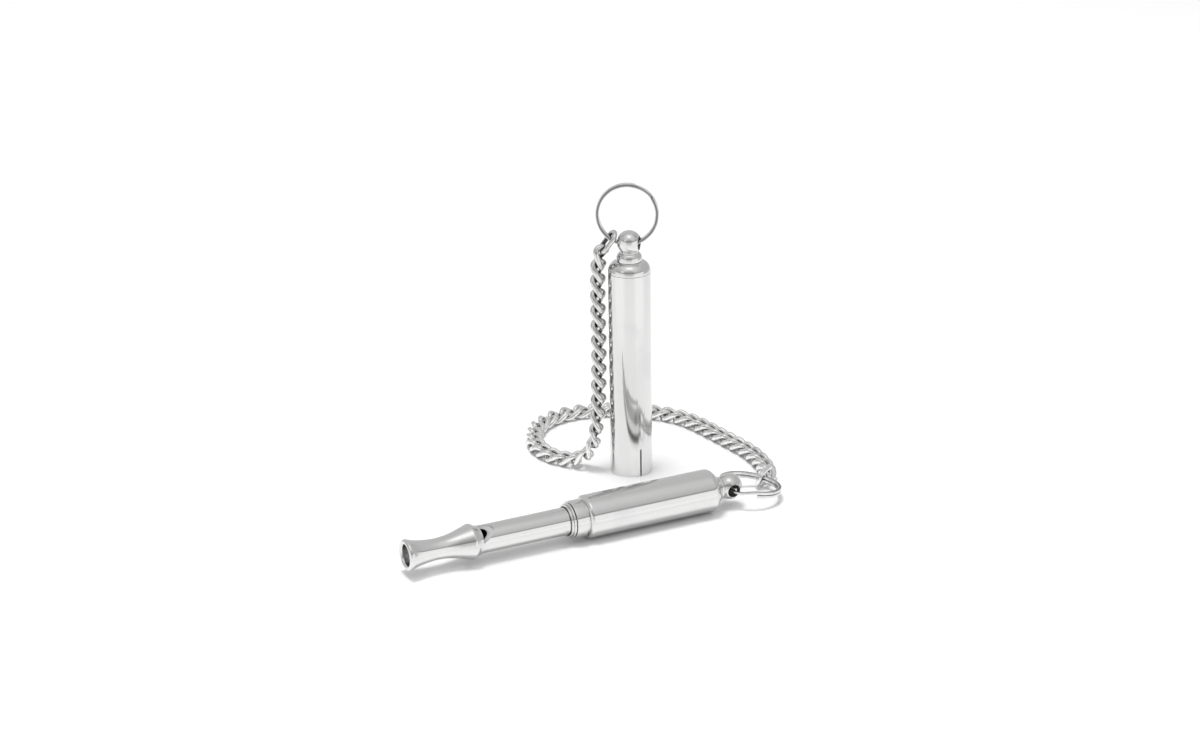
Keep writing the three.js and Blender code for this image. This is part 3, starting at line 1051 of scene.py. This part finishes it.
@dataclass
class CurbChain:
    """Curb chain from the whistle's ring over the floor to the cap's ring, with a connector at each end.

    Each connector is given by its middle, the direction of its long way and where its flat side faces.
    """

    finish: BrightWire
    # Darker copy of the finish for the links that hang: painted shade
    shaded_finish: BrightWire
    link_count: int = 45
    floor_links: int = 32
    link_length: float = 5.5
    link_width: float = 3.1
    link_wire: float = 1.22
    hanging_width: float = 3.4
    hanging_wire: float = 1.36
    link_twist: float = radians(-60)
    connector_length: float = 5.6
    connector_width: float = 3.5
    connector_wire: float = 1.12
    hang_height: float = 5.0
    wide_height: float = 10.0
    hang_turn: float = radians(8)
    hang_facing: float = radians(48)
    # Strength of the painted shade inside the loops of the links that lie and of those that hang
    lying_recess: float = 0.64
    hanging_recess: float = 1.7
    route_steps: int = 4000
    whistle_connector: tuple[Point, ...] = ((93.8, 6.26, 2.51), (0.82, 0.571, 0.035), (0.546, -0.761, -0.35))
    cap_connector: tuple[Point, ...] = ((66.92, 32.43, 56.81), (0.544, -0.218, 0.81), (0.798, -0.165, -0.58))
    route: tuple[Point, ...] = (
        (95.6, 7.4, 1.95), (96.8, 9.7, 1.7), (98.1, 13.2, 1.52), (98.9, 17.4, 1.5),
        (99.3, 22.8, 1.5), (98.8, 28.6, 1.5), (98.0, 34.9, 1.5), (96.9, 43.1, 1.5),
        (95.1, 50.0, 1.5), (92.0, 54.7, 1.5), (88.4, 58.6, 1.5), (83.5, 62.0, 1.5),
        (78.5, 64.3, 1.5), (73.7, 65.3, 1.5), (69.2, 65.1, 1.5), (64.6, 63.4, 1.5),
        (61.4, 60.9, 1.5), (58.9, 57.6, 1.5), (56.9, 53.5, 1.5), (55.9, 49.2, 1.5),
        (56.1, 45.0, 1.5), (57.2, 41.5, 1.5), (59.0, 39.0, 1.7), (61.0, 36.3, 2.7),
        (62.5, 34.3, 5.0), (63.3, 33.3, 8.2), (63.7, 33.1, 11.4), (64.2, 33.2, 15.0),
        (64.5, 33.3, 21.5), (64.8, 33.5, 30.0), (64.9, 33.8, 40.0), (65.0, 33.9, 47.5),
        (65.1, 33.6, 51.8), (65.5, 32.9, 54.9),
    )

    def route_points(self) -> np.ndarray:
        """Points at even lengths along the chain's middle line, where one link gives way to the next.

        The line is a Catmull-Rom curve through the route, whose knots are spaced by the square root of the
        distances between its points.

        Returns:
            One more point than there are links.
        """
        knots = np.array(self.route)
        ends = np.vstack([2 * knots[0] - knots[1], knots, 2 * knots[-1] - knots[-2]])
        gaps = np.sqrt(np.linalg.norm(np.diff(ends, axis=0), axis=1))[:, None]
        before, gap, after = gaps[:-2], gaps[1:-1], gaps[2:]
        start, first, second, last = ends[:-3], ends[1:-2], ends[2:-1], ends[3:]
        leaving = ((first - start) / before - (second - start) / (before + gap)) * gap + (second - first)
        arriving = ((last - second) / after - (last - first) / (gap + after)) * gap + (second - first)
        fine = np.linspace(0.0, len(first), self.route_steps + 1)
        span = np.minimum(fine.astype(int), len(first) - 1)
        share = (fine - span)[:, None]
        bend = 3 * (second - first) - 2 * leaving - arriving
        twist = 2 * (first - second) + leaving + arriving
        line = first[span] + share * (leaving[span] + share * (bend[span] + share * twist[span]))
        run = np.concatenate([[0.0], np.cumsum(np.linalg.norm(np.diff(line, axis=0), axis=1))])
        wanted = np.linspace(0.0, run[-1], self.link_count + 1)
        return np.column_stack([np.interp(wanted, run, line[:, axis]) for axis in range(3)])

    def loop_skin(self, length: float, width: float, twist: float, wire: float) -> Skin:
        """One link at the origin, long way along X: a round wire carried along a twisted stadium line.

        The line runs along one side, round a half circle, back along the other side and round again, and
        every point is turned about X by the twist times its place from the middle.

        Args:
            length: Length of the line.
            width: Width of the line.
            twist: Turn of each end, in radians.
            wire: Thickness of the wire.

        Returns:
            The closed loop.
        """
        straight = length - width
        radius = width / 2
        half = straight + pi * radius
        run = np.arange(LOOP_STEPS) * (2 * half / LOOP_STEPS)
        sign = np.where(run >= half, -1.0, 1.0)
        part = np.where(run >= half, run - half, run)
        turn = np.maximum(0.0, part - straight) / radius
        along = np.minimum(part, straight) - straight / 2 + radius * np.sin(turn)
        across = -radius * np.cos(turn)
        angle = twist * sign * along / (length / 2)
        line = np.column_stack([along, across * np.cos(angle), across * np.sin(angle)]) * sign[:, None]
        tangent = unit(np.roll(line, -1, axis=0) - np.roll(line, 1, axis=0))
        upright = np.column_stack([np.zeros(LOOP_STEPS), -np.sin(angle), np.cos(angle)])
        side = unit(np.cross(tangent, upright))[:, None]
        rise = np.cross(side, tangent[:, None])
        around = (np.arange(LOOP_SIDES) * (tau / LOOP_SIDES))[None, :, None]
        points = line[:, None] + wire / 2 * (np.cos(around) * side + np.sin(around) * rise)
        return Skin(points.reshape(-1, 3), grid_quads(LOOP_STEPS, LOOP_SIDES, True)).facing_out()

    def placed(
        self, skin: Skin, centre: Sequence[float], along: Sequence[float], flat: Sequence[float]
    ) -> Skin:
        """Lays a link at a place.

        Args:
            skin: Link at the origin.
            centre: Its middle.
            along: Direction of its long way.
            flat: Direction that its flat side faces.

        Returns:
            The laid link.
        """
        direction = unit(along)
        across = unit(np.cross(flat, direction))
        turned = skin.points @ np.array([direction, across, np.cross(direction, across)])
        return Skin(turned + np.asarray(centre), skin.quads)

    def link_skins(self) -> list[Skin]:
        """All curb links in order, each over its share of the route.

        The flat side is carried from link to link, and at each link that hangs it turns a step towards its
        facing. The links that hang clear of the floor are wider.

        Returns:
            The laid links.
        """
        low = self.loop_skin(self.link_length, self.link_width, self.link_twist, self.link_wire)
        high = self.loop_skin(self.link_length, self.hanging_width, self.link_twist, self.hanging_wire)
        points = self.route_points()
        directions = unit(np.diff(points, axis=0))
        centres = (points[1:] + points[:-1]) / 2
        facing = np.cross(level(self.hang_facing), -Z_AXIS)
        flat = Z_AXIS
        links = []
        for centre, along in zip(centres, directions):
            flat = unit(flat - (flat @ along) * along)
            if centre[2] > self.hang_height:
                wanted = unit(facing - (facing @ along) * along)
                angle = np.arctan2(np.cross(flat, wanted) @ along, flat @ wanted)
                turn = np.clip(angle, -self.hang_turn, self.hang_turn)
                flat = cos(turn) * flat + sin(turn) * np.cross(along, flat)
            shape = high if centre[2] > self.wide_height else low
            links.append(self.placed(shape, centre, along, flat))
        return links

    def mark_recess(self, data: bpy.types.Mesh, share: float) -> None:
        """Notes how far each point of a stretch looks into its own loop, as painted shade: below 0 outside,
        the share inside.

        Args:
            data: The stretch, whose loops have the same number of points each.
            share: Mark of a point that looks straight in: the less, the lighter the stretch's painted shade.
        """
        loops = vectors(data.vertices, "co").reshape(-1, LOOP_STEPS * LOOP_SIDES, 3)
        offset = loops - loops.mean(axis=1, keepdims=True)
        along = np.linalg.svd(offset, full_matrices=False)[2][:, :1]
        reach = (self.link_length - self.link_width) / 2 * MILLIMETRE
        run = np.clip((offset * along).sum(axis=2, keepdims=True), -reach, reach)
        outward = unit(offset - run * along)
        look = -share * (vectors(data.vertices, "normal").reshape(loops.shape) * outward).sum(axis=2)
        mark_dark(data, look.ravel())

    def build(self) -> None:
        ring = self.loop_skin(self.connector_length, self.connector_width, 0.0, self.connector_wire)
        links = self.link_skins()
        names = [f"chain_link_{number:02d}" for number in range(1, self.link_count + 1)]
        route = self.route_points()
        split = self.floor_links
        lying_data = self.placed(ring, *self.whistle_connector).joined(links[:split]).mesh("chain_lying")
        hanging_data = self.placed(ring, *self.cap_connector).joined(links[split:]).mesh("chain_hanging")
        # Painted shade inside each link's loop
        self.mark_recess(lying_data, self.lying_recess)
        self.mark_recess(hanging_data, self.hanging_recess)
        lying_seat = Seat(Body.CHAIN, Slot.WIRE, ("whistle_connector", *names[:split]))
        hanging_seat = Seat(Body.CAP, Slot.WIRE, ("cap_connector", *names[split:]))
        lying = add_piece("chain_lying", lying_data, lying_seat, [self.finish.material()])
        hanging = add_piece("chain_hanging", hanging_data, hanging_seat, [self.shaded_finish.material()])


@dataclass
class TubeAssembly:
    """Mouthpiece, whistle tube with its window, and the lock nut on the tube."""

    nickel: PolishedNickel
    bore: ShadedBore
    milled_shade: PolishedNickel
    lip_round: float = 0.59
    lip_ring: float = 3.01
    mouth_bore: float = 1.6
    throat: float = 5.5
    waist_end: Span = (3.84, 14.8)
    flare_radius: float = 4.12
    mouth_end: float = 17.42
    seat_radius: float = 2.45
    seat_start: float = 12.7
    tube_radius: float = 3.2
    tube_bore: float = 2.5
    tube_start: float = 17.5
    tube_end: float = 61.5
    end_reach: float = 0.2
    fine_step: float = 0.1
    fine_past: float = 0.4
    plain_past: float = 0.6
    window_start: float = 17.75
    window_floor: float = 1.85
    window_end: float = 20.9
    window_tilt: float = radians(60)
    ramp_match: float = 0.999
    nut_start: float = 39.15
    nut_end: float = 40.2
    nut_bore: float = 3.4
    nut_radius: float = 4.05

    def mouthpiece_outline(self) -> np.ndarray:
        """Outline of the mouthpiece: round lip, waisted body, flare, and the bore back to the lip.

        Returns:
            The closed outline.
        """
        lip = arc(self.lip_ring, self.lip_round, self.lip_round, start=-90, end=90, steps=14)
        waist = flowing(
            [
                (self.lip_ring + self.lip_round, self.lip_round),
                (3.5, 1.0),
                (3.22, 1.8),
                (2.93, 2.9),
                (2.72, 4.1),
                (2.53, 5.6),
                (2.43, 7.4),
                (2.52, 9.2),
                (2.72, 10.6),
                (3.02, 12.0),
                (3.46, 13.5),
                self.waist_end,
            ],
            steps=64,
        )
        rear = eased(
            [
                (*self.waist_end, 0.0),
                (self.flare_radius, 15.66, 0.3),
                (3.96, 16.16, 0.2),
                (3.42, 17.02, 0.08),
                (3.4, self.mouth_end, 0.06),
                (self.seat_radius, self.mouth_end, 0.05),
                (self.seat_radius, self.seat_start, 0.05),
                (self.mouth_bore, self.seat_start, 0.05),
                (self.mouth_bore, self.throat, 0.0),
            ]
        )
        lip_end = (self.lip_ring - self.lip_round, self.lip_round)
        throat = (self.mouth_bore, self.throat)
        funnel = flowing([throat, (1.8, 3.9), (2.15, 2.2), (2.35, 1.2), lip_end], steps=20)
        return without_repeats(np.vstack([lip, waist[1:], rear[1:], funnel[1:-1]]))

    def window_facing(self) -> np.ndarray:
        """Direction that the window faces, square to the tube."""
        return -cos(self.window_tilt) * Y_AXIS + sin(self.window_tilt) * Z_AXIS

    def window_cutter(self) -> Skin:
        """Wedge across the whole tube, with an upright front wall and a floor that slants out to the lip.

        Returns:
            The closed wedge.
        """
        outward = self.window_facing()
        side = np.cross(outward, X_AXIS)
        beyond = self.tube_radius + CUT_PAST
        rows = np.array(
            [
                (beyond, self.window_start),
                (self.window_floor, self.window_start),
                (self.tube_radius, self.window_end),
                (beyond, self.window_end),
            ]
        )
        corners = WHISTLE_SPINDLE.origin + rows[:, :1] * outward + rows[:, 1:] * X_AXIS - beyond * side
        return prism(corners, 2 * beyond * side)

    def tube_mesh(self) -> bpy.types.Mesh:
        """The tube: a long ring with eased ends, finely divided at the window, which a wedge cuts.

        Returns:
            The cut tube.
        """
        front_end = self.tube_start + self.end_reach
        rear_start = self.window_end + self.plain_past
        front = eased(
            [
                (self.tube_bore, front_end, 0.0),
                (self.tube_bore, self.tube_start, 0.04),
                (self.tube_radius, self.tube_start, 0.06),
                (self.tube_radius, front_end, 0.0),
            ]
        )
        rear = eased(
            [
                (self.tube_radius, rear_start, 0.0),
                (self.tube_radius, self.tube_end, 0.1),
                (self.tube_bore, self.tube_end, 0.1),
                (self.tube_bore, rear_start, 0.0),
            ]
        )
        fine = np.arange(front_end, self.window_end + self.fine_past, self.fine_step)
        whole = WHISTLE_SPINDLE.turned(long_ring(front, rear, fine), steps=144).mesh("tube_whole")
        return cut_away(whole, self.window_cutter())

    def dress_ramp(self, data: bpy.types.Mesh) -> None:
        """Gives the third finish to the faces of the window's ramp, which share the slant of its cutter: a
        satin cut whose darker grey is painted shade.

        Args:
            data: The cut tube.
        """
        rise = self.tube_radius - self.window_floor
        run = self.window_end - self.window_start
        slant = unit(run * self.window_facing() - rise * X_AXIS)
        finishes = np.zeros(len(data.polygons), dtype=np.int32)
        data.polygons.foreach_get("material_index", finishes)
        finishes[vectors(data.polygons, "normal") @ slant > self.ramp_match] = 2
        data.polygons.foreach_set("material_index", finishes)

    def nut_outline(self) -> np.ndarray:
        """Outline of the lock nut: two small round steps with a groove between them.

        Returns:
            The closed outline.
        """
        start = self.nut_start
        groove = self.nut_radius - 0.42
        return eased(
            [
                (self.nut_bore, start, 0.0),
                (self.nut_radius - 0.3, start, 0.12),
                (self.nut_radius - 0.26, start + 0.36, 0.1),
                (groove, start + 0.44, 0.03),
                (groove, start + 0.5, 0.03),
                (self.nut_radius - 0.02, start + 0.54, 0.1),
                (self.nut_radius, self.nut_end, 0.14),
                (self.nut_bore, self.nut_end, 0.0),
            ]
        )

    def build(self) -> None:
        """Builds the mouthpiece, the tube and the lock nut."""
        nickel = self.nickel.material()
        bore = self.bore.material()
        milled_shade = self.milled_shade.material()
        mouth = WHISTLE_SPINDLE.turned(self.mouthpiece_outline(), steps=144).mesh("mouthpiece_shell")
        add_piece("mouthpiece_shell", mouth, Seat(Body.TUBE, Slot.SHELL, ("mouthpiece",)), [nickel, milled_shade])
        dress_inside(mouth, WHISTLE_SPINDLE, self.seat_radius)
        tube = self.tube_mesh()
        tube_seat = Seat(Body.TUBE, Slot.SHELL, ("whistle_tube",))
        add_piece("tube_shell", tube, tube_seat, [nickel, bore, milled_shade])
        dress_inside(tube, WHISTLE_SPINDLE, self.tube_bore + 0.02)
        self.dress_ramp(tube)
        nut = WHISTLE_SPINDLE.turned(self.nut_outline(), steps=128).mesh("nut_ring")
        add_piece("nut_ring", nut, Seat(Body.NUT, Slot.SHELL, ("lock_nut",)), [nickel])


@dataclass(frozen=True)
class Eye:
    """Eye drilled through a ball: a waisted hole that opens a little towards each mouth."""

    centre: Point
    facing: float
    waist: float = 1.38
    flare: float = 0.35
    flare_reach: float = 2.8
    cut_reach: float = 3.6
    rows: int = 61

    def axis(self) -> Spindle:
        """Level axis of the eye."""
        return Spindle(np.array(self.centre), level(self.facing), Z_AXIS)

    def drill(self, solid: Skin, name: str) -> bpy.types.Mesh:
        """Takes the eye out of a turned solid: the waist plus the flare times a square of the distance.

        Args:
            solid: Closed surface of the finial.
            name: Name of the mesh.

        Returns:
            The drilled finial.
        """
        place = np.linspace(-self.cut_reach, self.cut_reach, self.rows)
        wall = np.column_stack([self.waist + self.flare * (place / self.flare_reach) ** 2, place])
        outline = np.vstack([[(0.0, -self.cut_reach)], wall, [(0.0, self.cut_reach)]])
        return cut_away(solid.mesh(name), self.axis().turned(outline, steps=72))

    def darken(self, data: bpy.types.Mesh) -> None:
        """Gives the eye's wall the second finish, the painted shade inside the hole."""
        dress_inside(data, self.axis(), self.waist + self.flare)


@dataclass
class BarrelAssembly:
    """Barrel with the band that the cap seats on, its ball finial, and the brass pieces inside."""

    nickel: PolishedNickel
    eye_finish: ShadedBore
    band_start: float = 40.3
    band_radius: float = 4.35
    band_bore: float = 3.5
    barrel_start: float = 43.5
    barrel_radius: float = AXIS_HEIGHT
    front_round: float = 0.95
    groove_start: float = 43.05
    groove_radius: float = 4.02
    barrel_bore: float = 4.0
    bore_start: float = 44.1
    bore_end: float = 73.0
    shoulder: float = 75.2
    stud_hole: float = 1.25
    rear_radius: float = 2.75
    barrel_end: float = 78.0
    collar_start: float = 78.05
    collar_end: float = 78.7
    collar_radius: float = 2.65
    neck_radius: float = 2.15
    stud_radius: float = 1.1
    stud_start: float = 75.8
    ball_at: float = 81.0
    ball_radius: float = 3.05
    eye: Eye = Eye((81.0, 0.0, AXIS_HEIGHT - 0.35), radians(90), waist=1.36, flare=0.24)

    def barrel_outline(self) -> np.ndarray:
        """Outline of the barrel: band, groove, rounded front, long wall, shoulder, and the bore back.

        Returns:
            The closed outline.
        """
        band = eased(
            [
                (self.band_bore, self.band_start, 0.0),
                (self.band_radius, self.band_start, 0.2),
                (self.band_radius, self.groove_start, 0.1),
                (self.groove_radius, self.groove_start + 0.08, 0.05),
                (self.groove_radius, self.barrel_start, 0.0),
            ]
        )
        ring = self.barrel_radius - self.front_round
        front = arc(ring, self.barrel_start + self.front_round, self.front_round, start=0, end=90, steps=12)
        shoulder = flowing(
            [
                (self.barrel_radius, self.shoulder - 0.6),
                (self.barrel_radius, self.shoulder),
                (4.86, 75.8),
                (4.34, 76.5),
                (3.55, 77.28),
                (3.0, 77.72),
                (self.rear_radius, self.barrel_end),
            ],
            steps=36,
        )
        bore = eased(
            [
                (self.rear_radius, self.barrel_end, 0.0),
                (self.stud_hole, self.barrel_end, 0.03),
                (self.stud_hole, self.bore_end, 0.03),
                (self.barrel_bore, self.bore_end, 0.1),
                (self.barrel_bore, self.bore_start, 0.05),
                (self.band_bore, self.bore_start, 0.05),
                (self.band_bore, self.band_start, 0.0),
            ]
        )
        return without_repeats(np.vstack([band, front, shoulder, bore[1:-1]]))

    def finial_outline(self) -> np.ndarray:
        """Outline of the finial: stud, collar, neck and the ball's arc to its pole.

        Returns:
            The outline, from pole to pole.
        """
        stem = eased(
            [
                (POLE_GAP, self.stud_start, 0.0),
                (self.stud_radius, self.stud_start, 0.1),
                (self.stud_radius, self.collar_start, 0.03),
                (self.collar_radius, self.collar_start, 0.14),
                (self.collar_radius - 0.05, self.collar_end - 0.1, 0.16),
                (self.neck_radius, self.collar_end, 0.0),
            ]
        )
        neck = degrees(asin(self.neck_radius / self.ball_radius))
        ball = arc(0.0, self.ball_at, self.ball_radius, start=neck, end=180, steps=60)
        return np.vstack([[(0.0, self.stud_start)], stem, ball])

    def build(self) -> None:
        """Builds the barrel and its finial, and dresses the inner brass pieces of the frame."""
        nickel = self.nickel.material()
        barrel = WHISTLE_SPINDLE.turned(self.barrel_outline(), steps=160).mesh("barrel_shell")
        add_piece("barrel_shell", barrel, Seat(Body.BARREL, Slot.SHELL, ("barrel",)), [nickel])
        finial = self.eye.drill(WHISTLE_SPINDLE.turned(self.finial_outline(), steps=112), "barrel_ball")
        seat = Seat(Body.BARREL, Slot.SHELL, ("barrel_finial",))
        add_piece("barrel_ball", finial, seat, [nickel, self.eye_finish.material()])
        self.eye.darken(finial)
        self.dress_inner_pieces()

    def dress_inner_pieces(self) -> None:
        """Gives the frame's own plug, ferrule, rod and piston turned brass, with thread on the ferrule."""
        plain = TurnedBrass("turned_brass", ring_spacing=0.12, ring_depth=0.004).material()
        thread = TurnedBrass("threaded_brass", ring_spacing=0.5, ring_depth=0.12).material()
        for name in ("windway_plug", "tuning_rod", "piston_head"):
            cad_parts[name].material_slots[0].material = plain
            LOG.info("%s: dressed in brass", name)
        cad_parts["thread_ferrule"].material_slots[0].material = thread
        LOG.info("thread_ferrule: dressed in threaded brass")


@dataclass
class CapAssembly:
    """Standing cap: a slit tube and a domed finial with a bead and an eyed ball."""

    nickel: PolishedNickel
    eye_finish: ShadedBore
    foot: Point = (71.17, 29.93, 0.0)
    radius: float = 5.0
    bore: float = 4.55
    rim_reach: float = 0.2
    seam: float = 49.75
    seam_gap: float = 0.05
    slit_width: float = 0.35
    slit_height: float = 6.8
    slit_depth: float = 3.0
    fine_past: float = 0.6
    fine_rows: int = 40
    plain_past: float = 1.0
    plug_radius: float = 4.4
    plug_depth: float = 1.2
    dome_round: float = 2.7
    dome_rise: float = 0.1
    bead_round: float = 2.0
    bead_radius: float = 3.05
    bead_rise: float = 3.15
    neck_radius: float = 2.15
    ball_rise: float = 7.0
    ball_radius: float = 2.92
    crown_crease: float = 28.0
    eye: Eye = Eye((71.17, 29.93, 56.75), radians(-40))

    def spindle(self) -> Spindle:
        """The cap's upright axis."""
        return Spindle(np.array(self.foot), Z_AXIS, X_AXIS)

    def slit_cutter(self) -> Skin:
        """Thin upright box through the near wall, from below the rim to the slit's top.

        Returns:
            The closed box.
        """
        half = self.slit_width / 2
        outside = -self.radius - CUT_PAST
        corners = np.array(
            [
                (-half, outside, -CUT_PAST),
                (half, outside, -CUT_PAST),
                (half, outside, self.slit_height),
                (-half, outside, self.slit_height),
            ]
        )
        return prism(corners + self.foot, self.slit_depth * Y_AXIS)

    def tube_mesh(self) -> bpy.types.Mesh:
        """The cap's tube: a long ring with eased edges, finely divided where a thin box cuts the slit.

        Returns:
            The cut tube.
        """
        top_start = self.slit_height + self.plain_past
        rim = eased(
            [
                (self.bore, self.rim_reach, 0.0),
                (self.bore, 0.0, 0.1),
                (self.radius, 0.0, 0.1),
                (self.radius, self.rim_reach, 0.0),
            ]
        )
        top = eased(
            [
                (self.radius, top_start, 0.0),
                (self.radius, self.seam, 0.07),
                (self.bore, self.seam, 0.05),
                (self.bore, top_start, 0.0),
            ]
        )
        fine = np.linspace(self.rim_reach, self.slit_height + self.fine_past, self.fine_rows)
        whole = self.spindle().turned(long_ring(rim, top, fine), steps=160).mesh("cap_whole")
        return cut_away(whole, self.slit_cutter())

    def crown_outline(self) -> np.ndarray:
        """Outline of the finial: plug, foot, dome arc, bead arc, neck and the ball's arc to its pole.

        Returns:
            The outline, from pole to pole.
        """
        seam = self.seam
        plug = seam - self.plug_depth
        foot = eased(
            [
                (POLE_GAP, plug, 0.0),
                (self.plug_radius, plug, 0.15),
                (self.plug_radius, seam + self.seam_gap, 0.02),
                (self.radius, seam + self.seam_gap, 0.05),
                (self.radius, seam + self.dome_rise, 0.0),
            ]
        )
        dome_ring = self.radius - self.dome_round
        dome = arc(dome_ring, seam + self.dome_rise, self.dome_round, start=90, end=168, steps=30)
        bead_ring = self.bead_radius - self.bead_round
        bead = arc(bead_ring, seam + self.bead_rise, self.bead_round, start=80, end=146, steps=24)
        neck = degrees(asin(self.neck_radius / self.ball_radius))
        ball = arc(0.0, seam + self.ball_rise, self.ball_radius, start=neck, end=180, steps=60)
        return without_repeats(np.vstack([[(0.0, plug)], foot, dome[1:], bead, ball]))

    def build(self) -> None:
        """Builds the cap's tube and its finial."""
        nickel = self.nickel.material()
        add_piece("cap_shell", self.tube_mesh(), Seat(Body.CAP, Slot.SHELL, ("cap_tube",)), [nickel])
        crown = self.eye.drill(self.spindle().turned(self.crown_outline(), steps=128), "cap_crown")
        seat = Seat(Body.CAP, Slot.SHELL, ("cap_finial",))
        add_piece("cap_crown", crown, seat, [nickel, self.eye_finish.material()], self.crown_crease)
        self.eye.darken(crown)


@dataclass
class SplitRing:
    """Split ring: flat wire wound twice, its turns side by side and joined by a short jog."""

    name: str
    node: str
    body: Body
    centre: np.ndarray
    first: np.ndarray
    second: np.ndarray
    start: float
    radius: float = 6.9
    radial: float = 0.9
    axial: float = 0.7
    turn_gap: float = 0.1
    jog: float = radians(40)
    seat: float = 0.25
    squareness: float = 4.0
    steps: int = 420
    sides: int = 20
    # Width and sharpness of the painted shade along the flat sides
    line_edge: float = 0.88
    line_steepness: float = 8.0
    crease: float = 50.0

    def section_angles(self) -> np.ndarray:
        """Angles of the points round the wire's section."""
        return (np.arange(self.sides) + 0.5) * (tau / self.sides)

    def skin(self) -> Skin:
        """Carries a rounded square section along the winding.

        The winding is a circle that runs twice round, and it moves over by one turn along a smooth step at
        the jog. The section is a superellipse, square at its power and rounded at its corners.

        Returns:
            The closed wire with a flat end at each end.
        """
        angle = np.linspace(self.jog, 2 * tau, self.steps)
        share = np.clip((angle - tau) / self.jog, 0.0, 1.0)
        rise = (self.axial + self.turn_gap) * (share**2 * (3 - 2 * share) - 0.5)
        turn = self.section_angles()
        power = 2 / self.squareness
        across = self.radial / 2 * np.sign(np.cos(turn)) * np.abs(np.cos(turn)) ** power
        lift = self.axial / 2 * np.sign(np.sin(turn)) * np.abs(np.sin(turn)) ** power
        place = angle + self.start
        spoke = np.cos(place)[:, None] * self.first + np.sin(place)[:, None] * self.second
        normal = np.cross(self.first, self.second)
        reach = (self.radius + across)[None, :, None]
        height = rise[:, None, None] + lift[None, :, None]
        points = self.centre + reach * spoke[:, None] + height * normal
        return capped_rings(points.reshape(-1, 3), self.sides, points[[0, -1]].mean(axis=1))

    def mark_line(self, data: bpy.types.Mesh) -> None:
        """Notes the points along the middle of the wire's two flat sides, where painted shade darkens it.

        Args:
            data: The ring's mesh, which ends with the two middle points of the wire's ends.
        """
        height = np.abs(np.sin(self.section_angles()))
        middle = np.clip(self.line_steepness * (height - self.line_edge), 0.0, 1.0)
        mark_dark(data, np.concatenate([np.tile(middle, self.steps), [0.0, 0.0]]))

    def build(self, material: bpy.types.Material) -> None:
        """Builds the ring.

        Args:
            material: Its finish.
        """
        data = self.skin().mesh(self.name)
        self.mark_line(data)
        add_piece(self.name, data, Seat(self.body, Slot.WIRE, (self.node,)), [material], self.crease)


def whistle_split_ring(barrel: BarrelAssembly) -> SplitRing:
    """The ring through the barrel's eye, tilted down to the floor and swayed back.

    Args:
        barrel: Barrel whose ball carries the ring.

    Returns:
        The ring.
    """
    tilt = radians(10.5)
    sway = radians(12)
    start = radians(215)
    reach = SplitRing.radius - SplitRing.seat
    down = np.array([cos(tilt), 0.0, -sin(tilt)])
    centre = np.array(barrel.eye.centre) + reach * (cos(sway) * down + sin(sway) * Y_AXIS)
    return SplitRing("whistle_split_ring", "whistle_ring", Body.WHISTLE_RING, centre, down, Y_AXIS, start)


def cap_split_ring(cap: CapAssembly) -> SplitRing:
    """The ring that stands up from the cap's eye, leaning a little back and moved a little aside.

    Args:
        cap: Cap whose ball carries the ring.

    Returns:
        The ring.
    """
    lean = radians(6)
    aside = -0.4
    start = radians(35)
    along = level(radians(-30))
    up = cos(lean) * Z_AXIS + sin(lean) * np.cross(Z_AXIS, along)
    centre = np.array(cap.eye.centre) + (SplitRing.radius - SplitRing.seat) * up + aside * along
    return SplitRing("cap_split_ring", "cap_ring", Body.CAP_RING, centre, along, up, start)


def main() -> None:
    """Builds the studio, the chain and every sub-assembly in order."""
    logging.basicConfig(level=logging.INFO, format="%(name)s %(message)s")
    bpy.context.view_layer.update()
    studio = Studio()
    studio.camera()
    CurbChain(BrightWire("bright_chain"), BrightWire("shaded_chain", SHADED_PLATE, RUBBED_SHADED_PLATE)).build()
    along = PolishedNickel("nickel_along", Grain.ALONG_X)
    upright = PolishedNickel("nickel_upright", Grain.ALONG_Z)
    # Satin cut, its darker grey painted shade
    milled_shade = PolishedNickel(
        "nickel_milled_shade", Grain.ALONG_X, MILLED_SHADE, RUBBED_MILLED_SHADE, clear_roughness=0.2, smudged_roughness=0.3
    )
    # Near-black painted shade for the walls of the eyes
    drilled = ShadedBore("shaded_eye", EYE_SHADE, RUBBED_EYE_SHADE)
    ring_wire = BrightWire(
        "bright_ring", STEEL, RUBBED_STEEL, STEEL_SHADE, clear_roughness=0.07, rubbed_roughness=0.18
    )
    barrel = BarrelAssembly(along, drilled)
    cap = CapAssembly(upright, drilled)
    TubeAssembly(along, ShadedBore(), milled_shade).build()
    barrel.build()
    cap.build()
    ring_finish = ring_wire.material()
    whistle_split_ring(barrel).build(ring_finish)
    cap_split_ring(cap).build(ring_finish)
    studio.floor()
    studio.light()


if __name__ == "__main__":
    main()
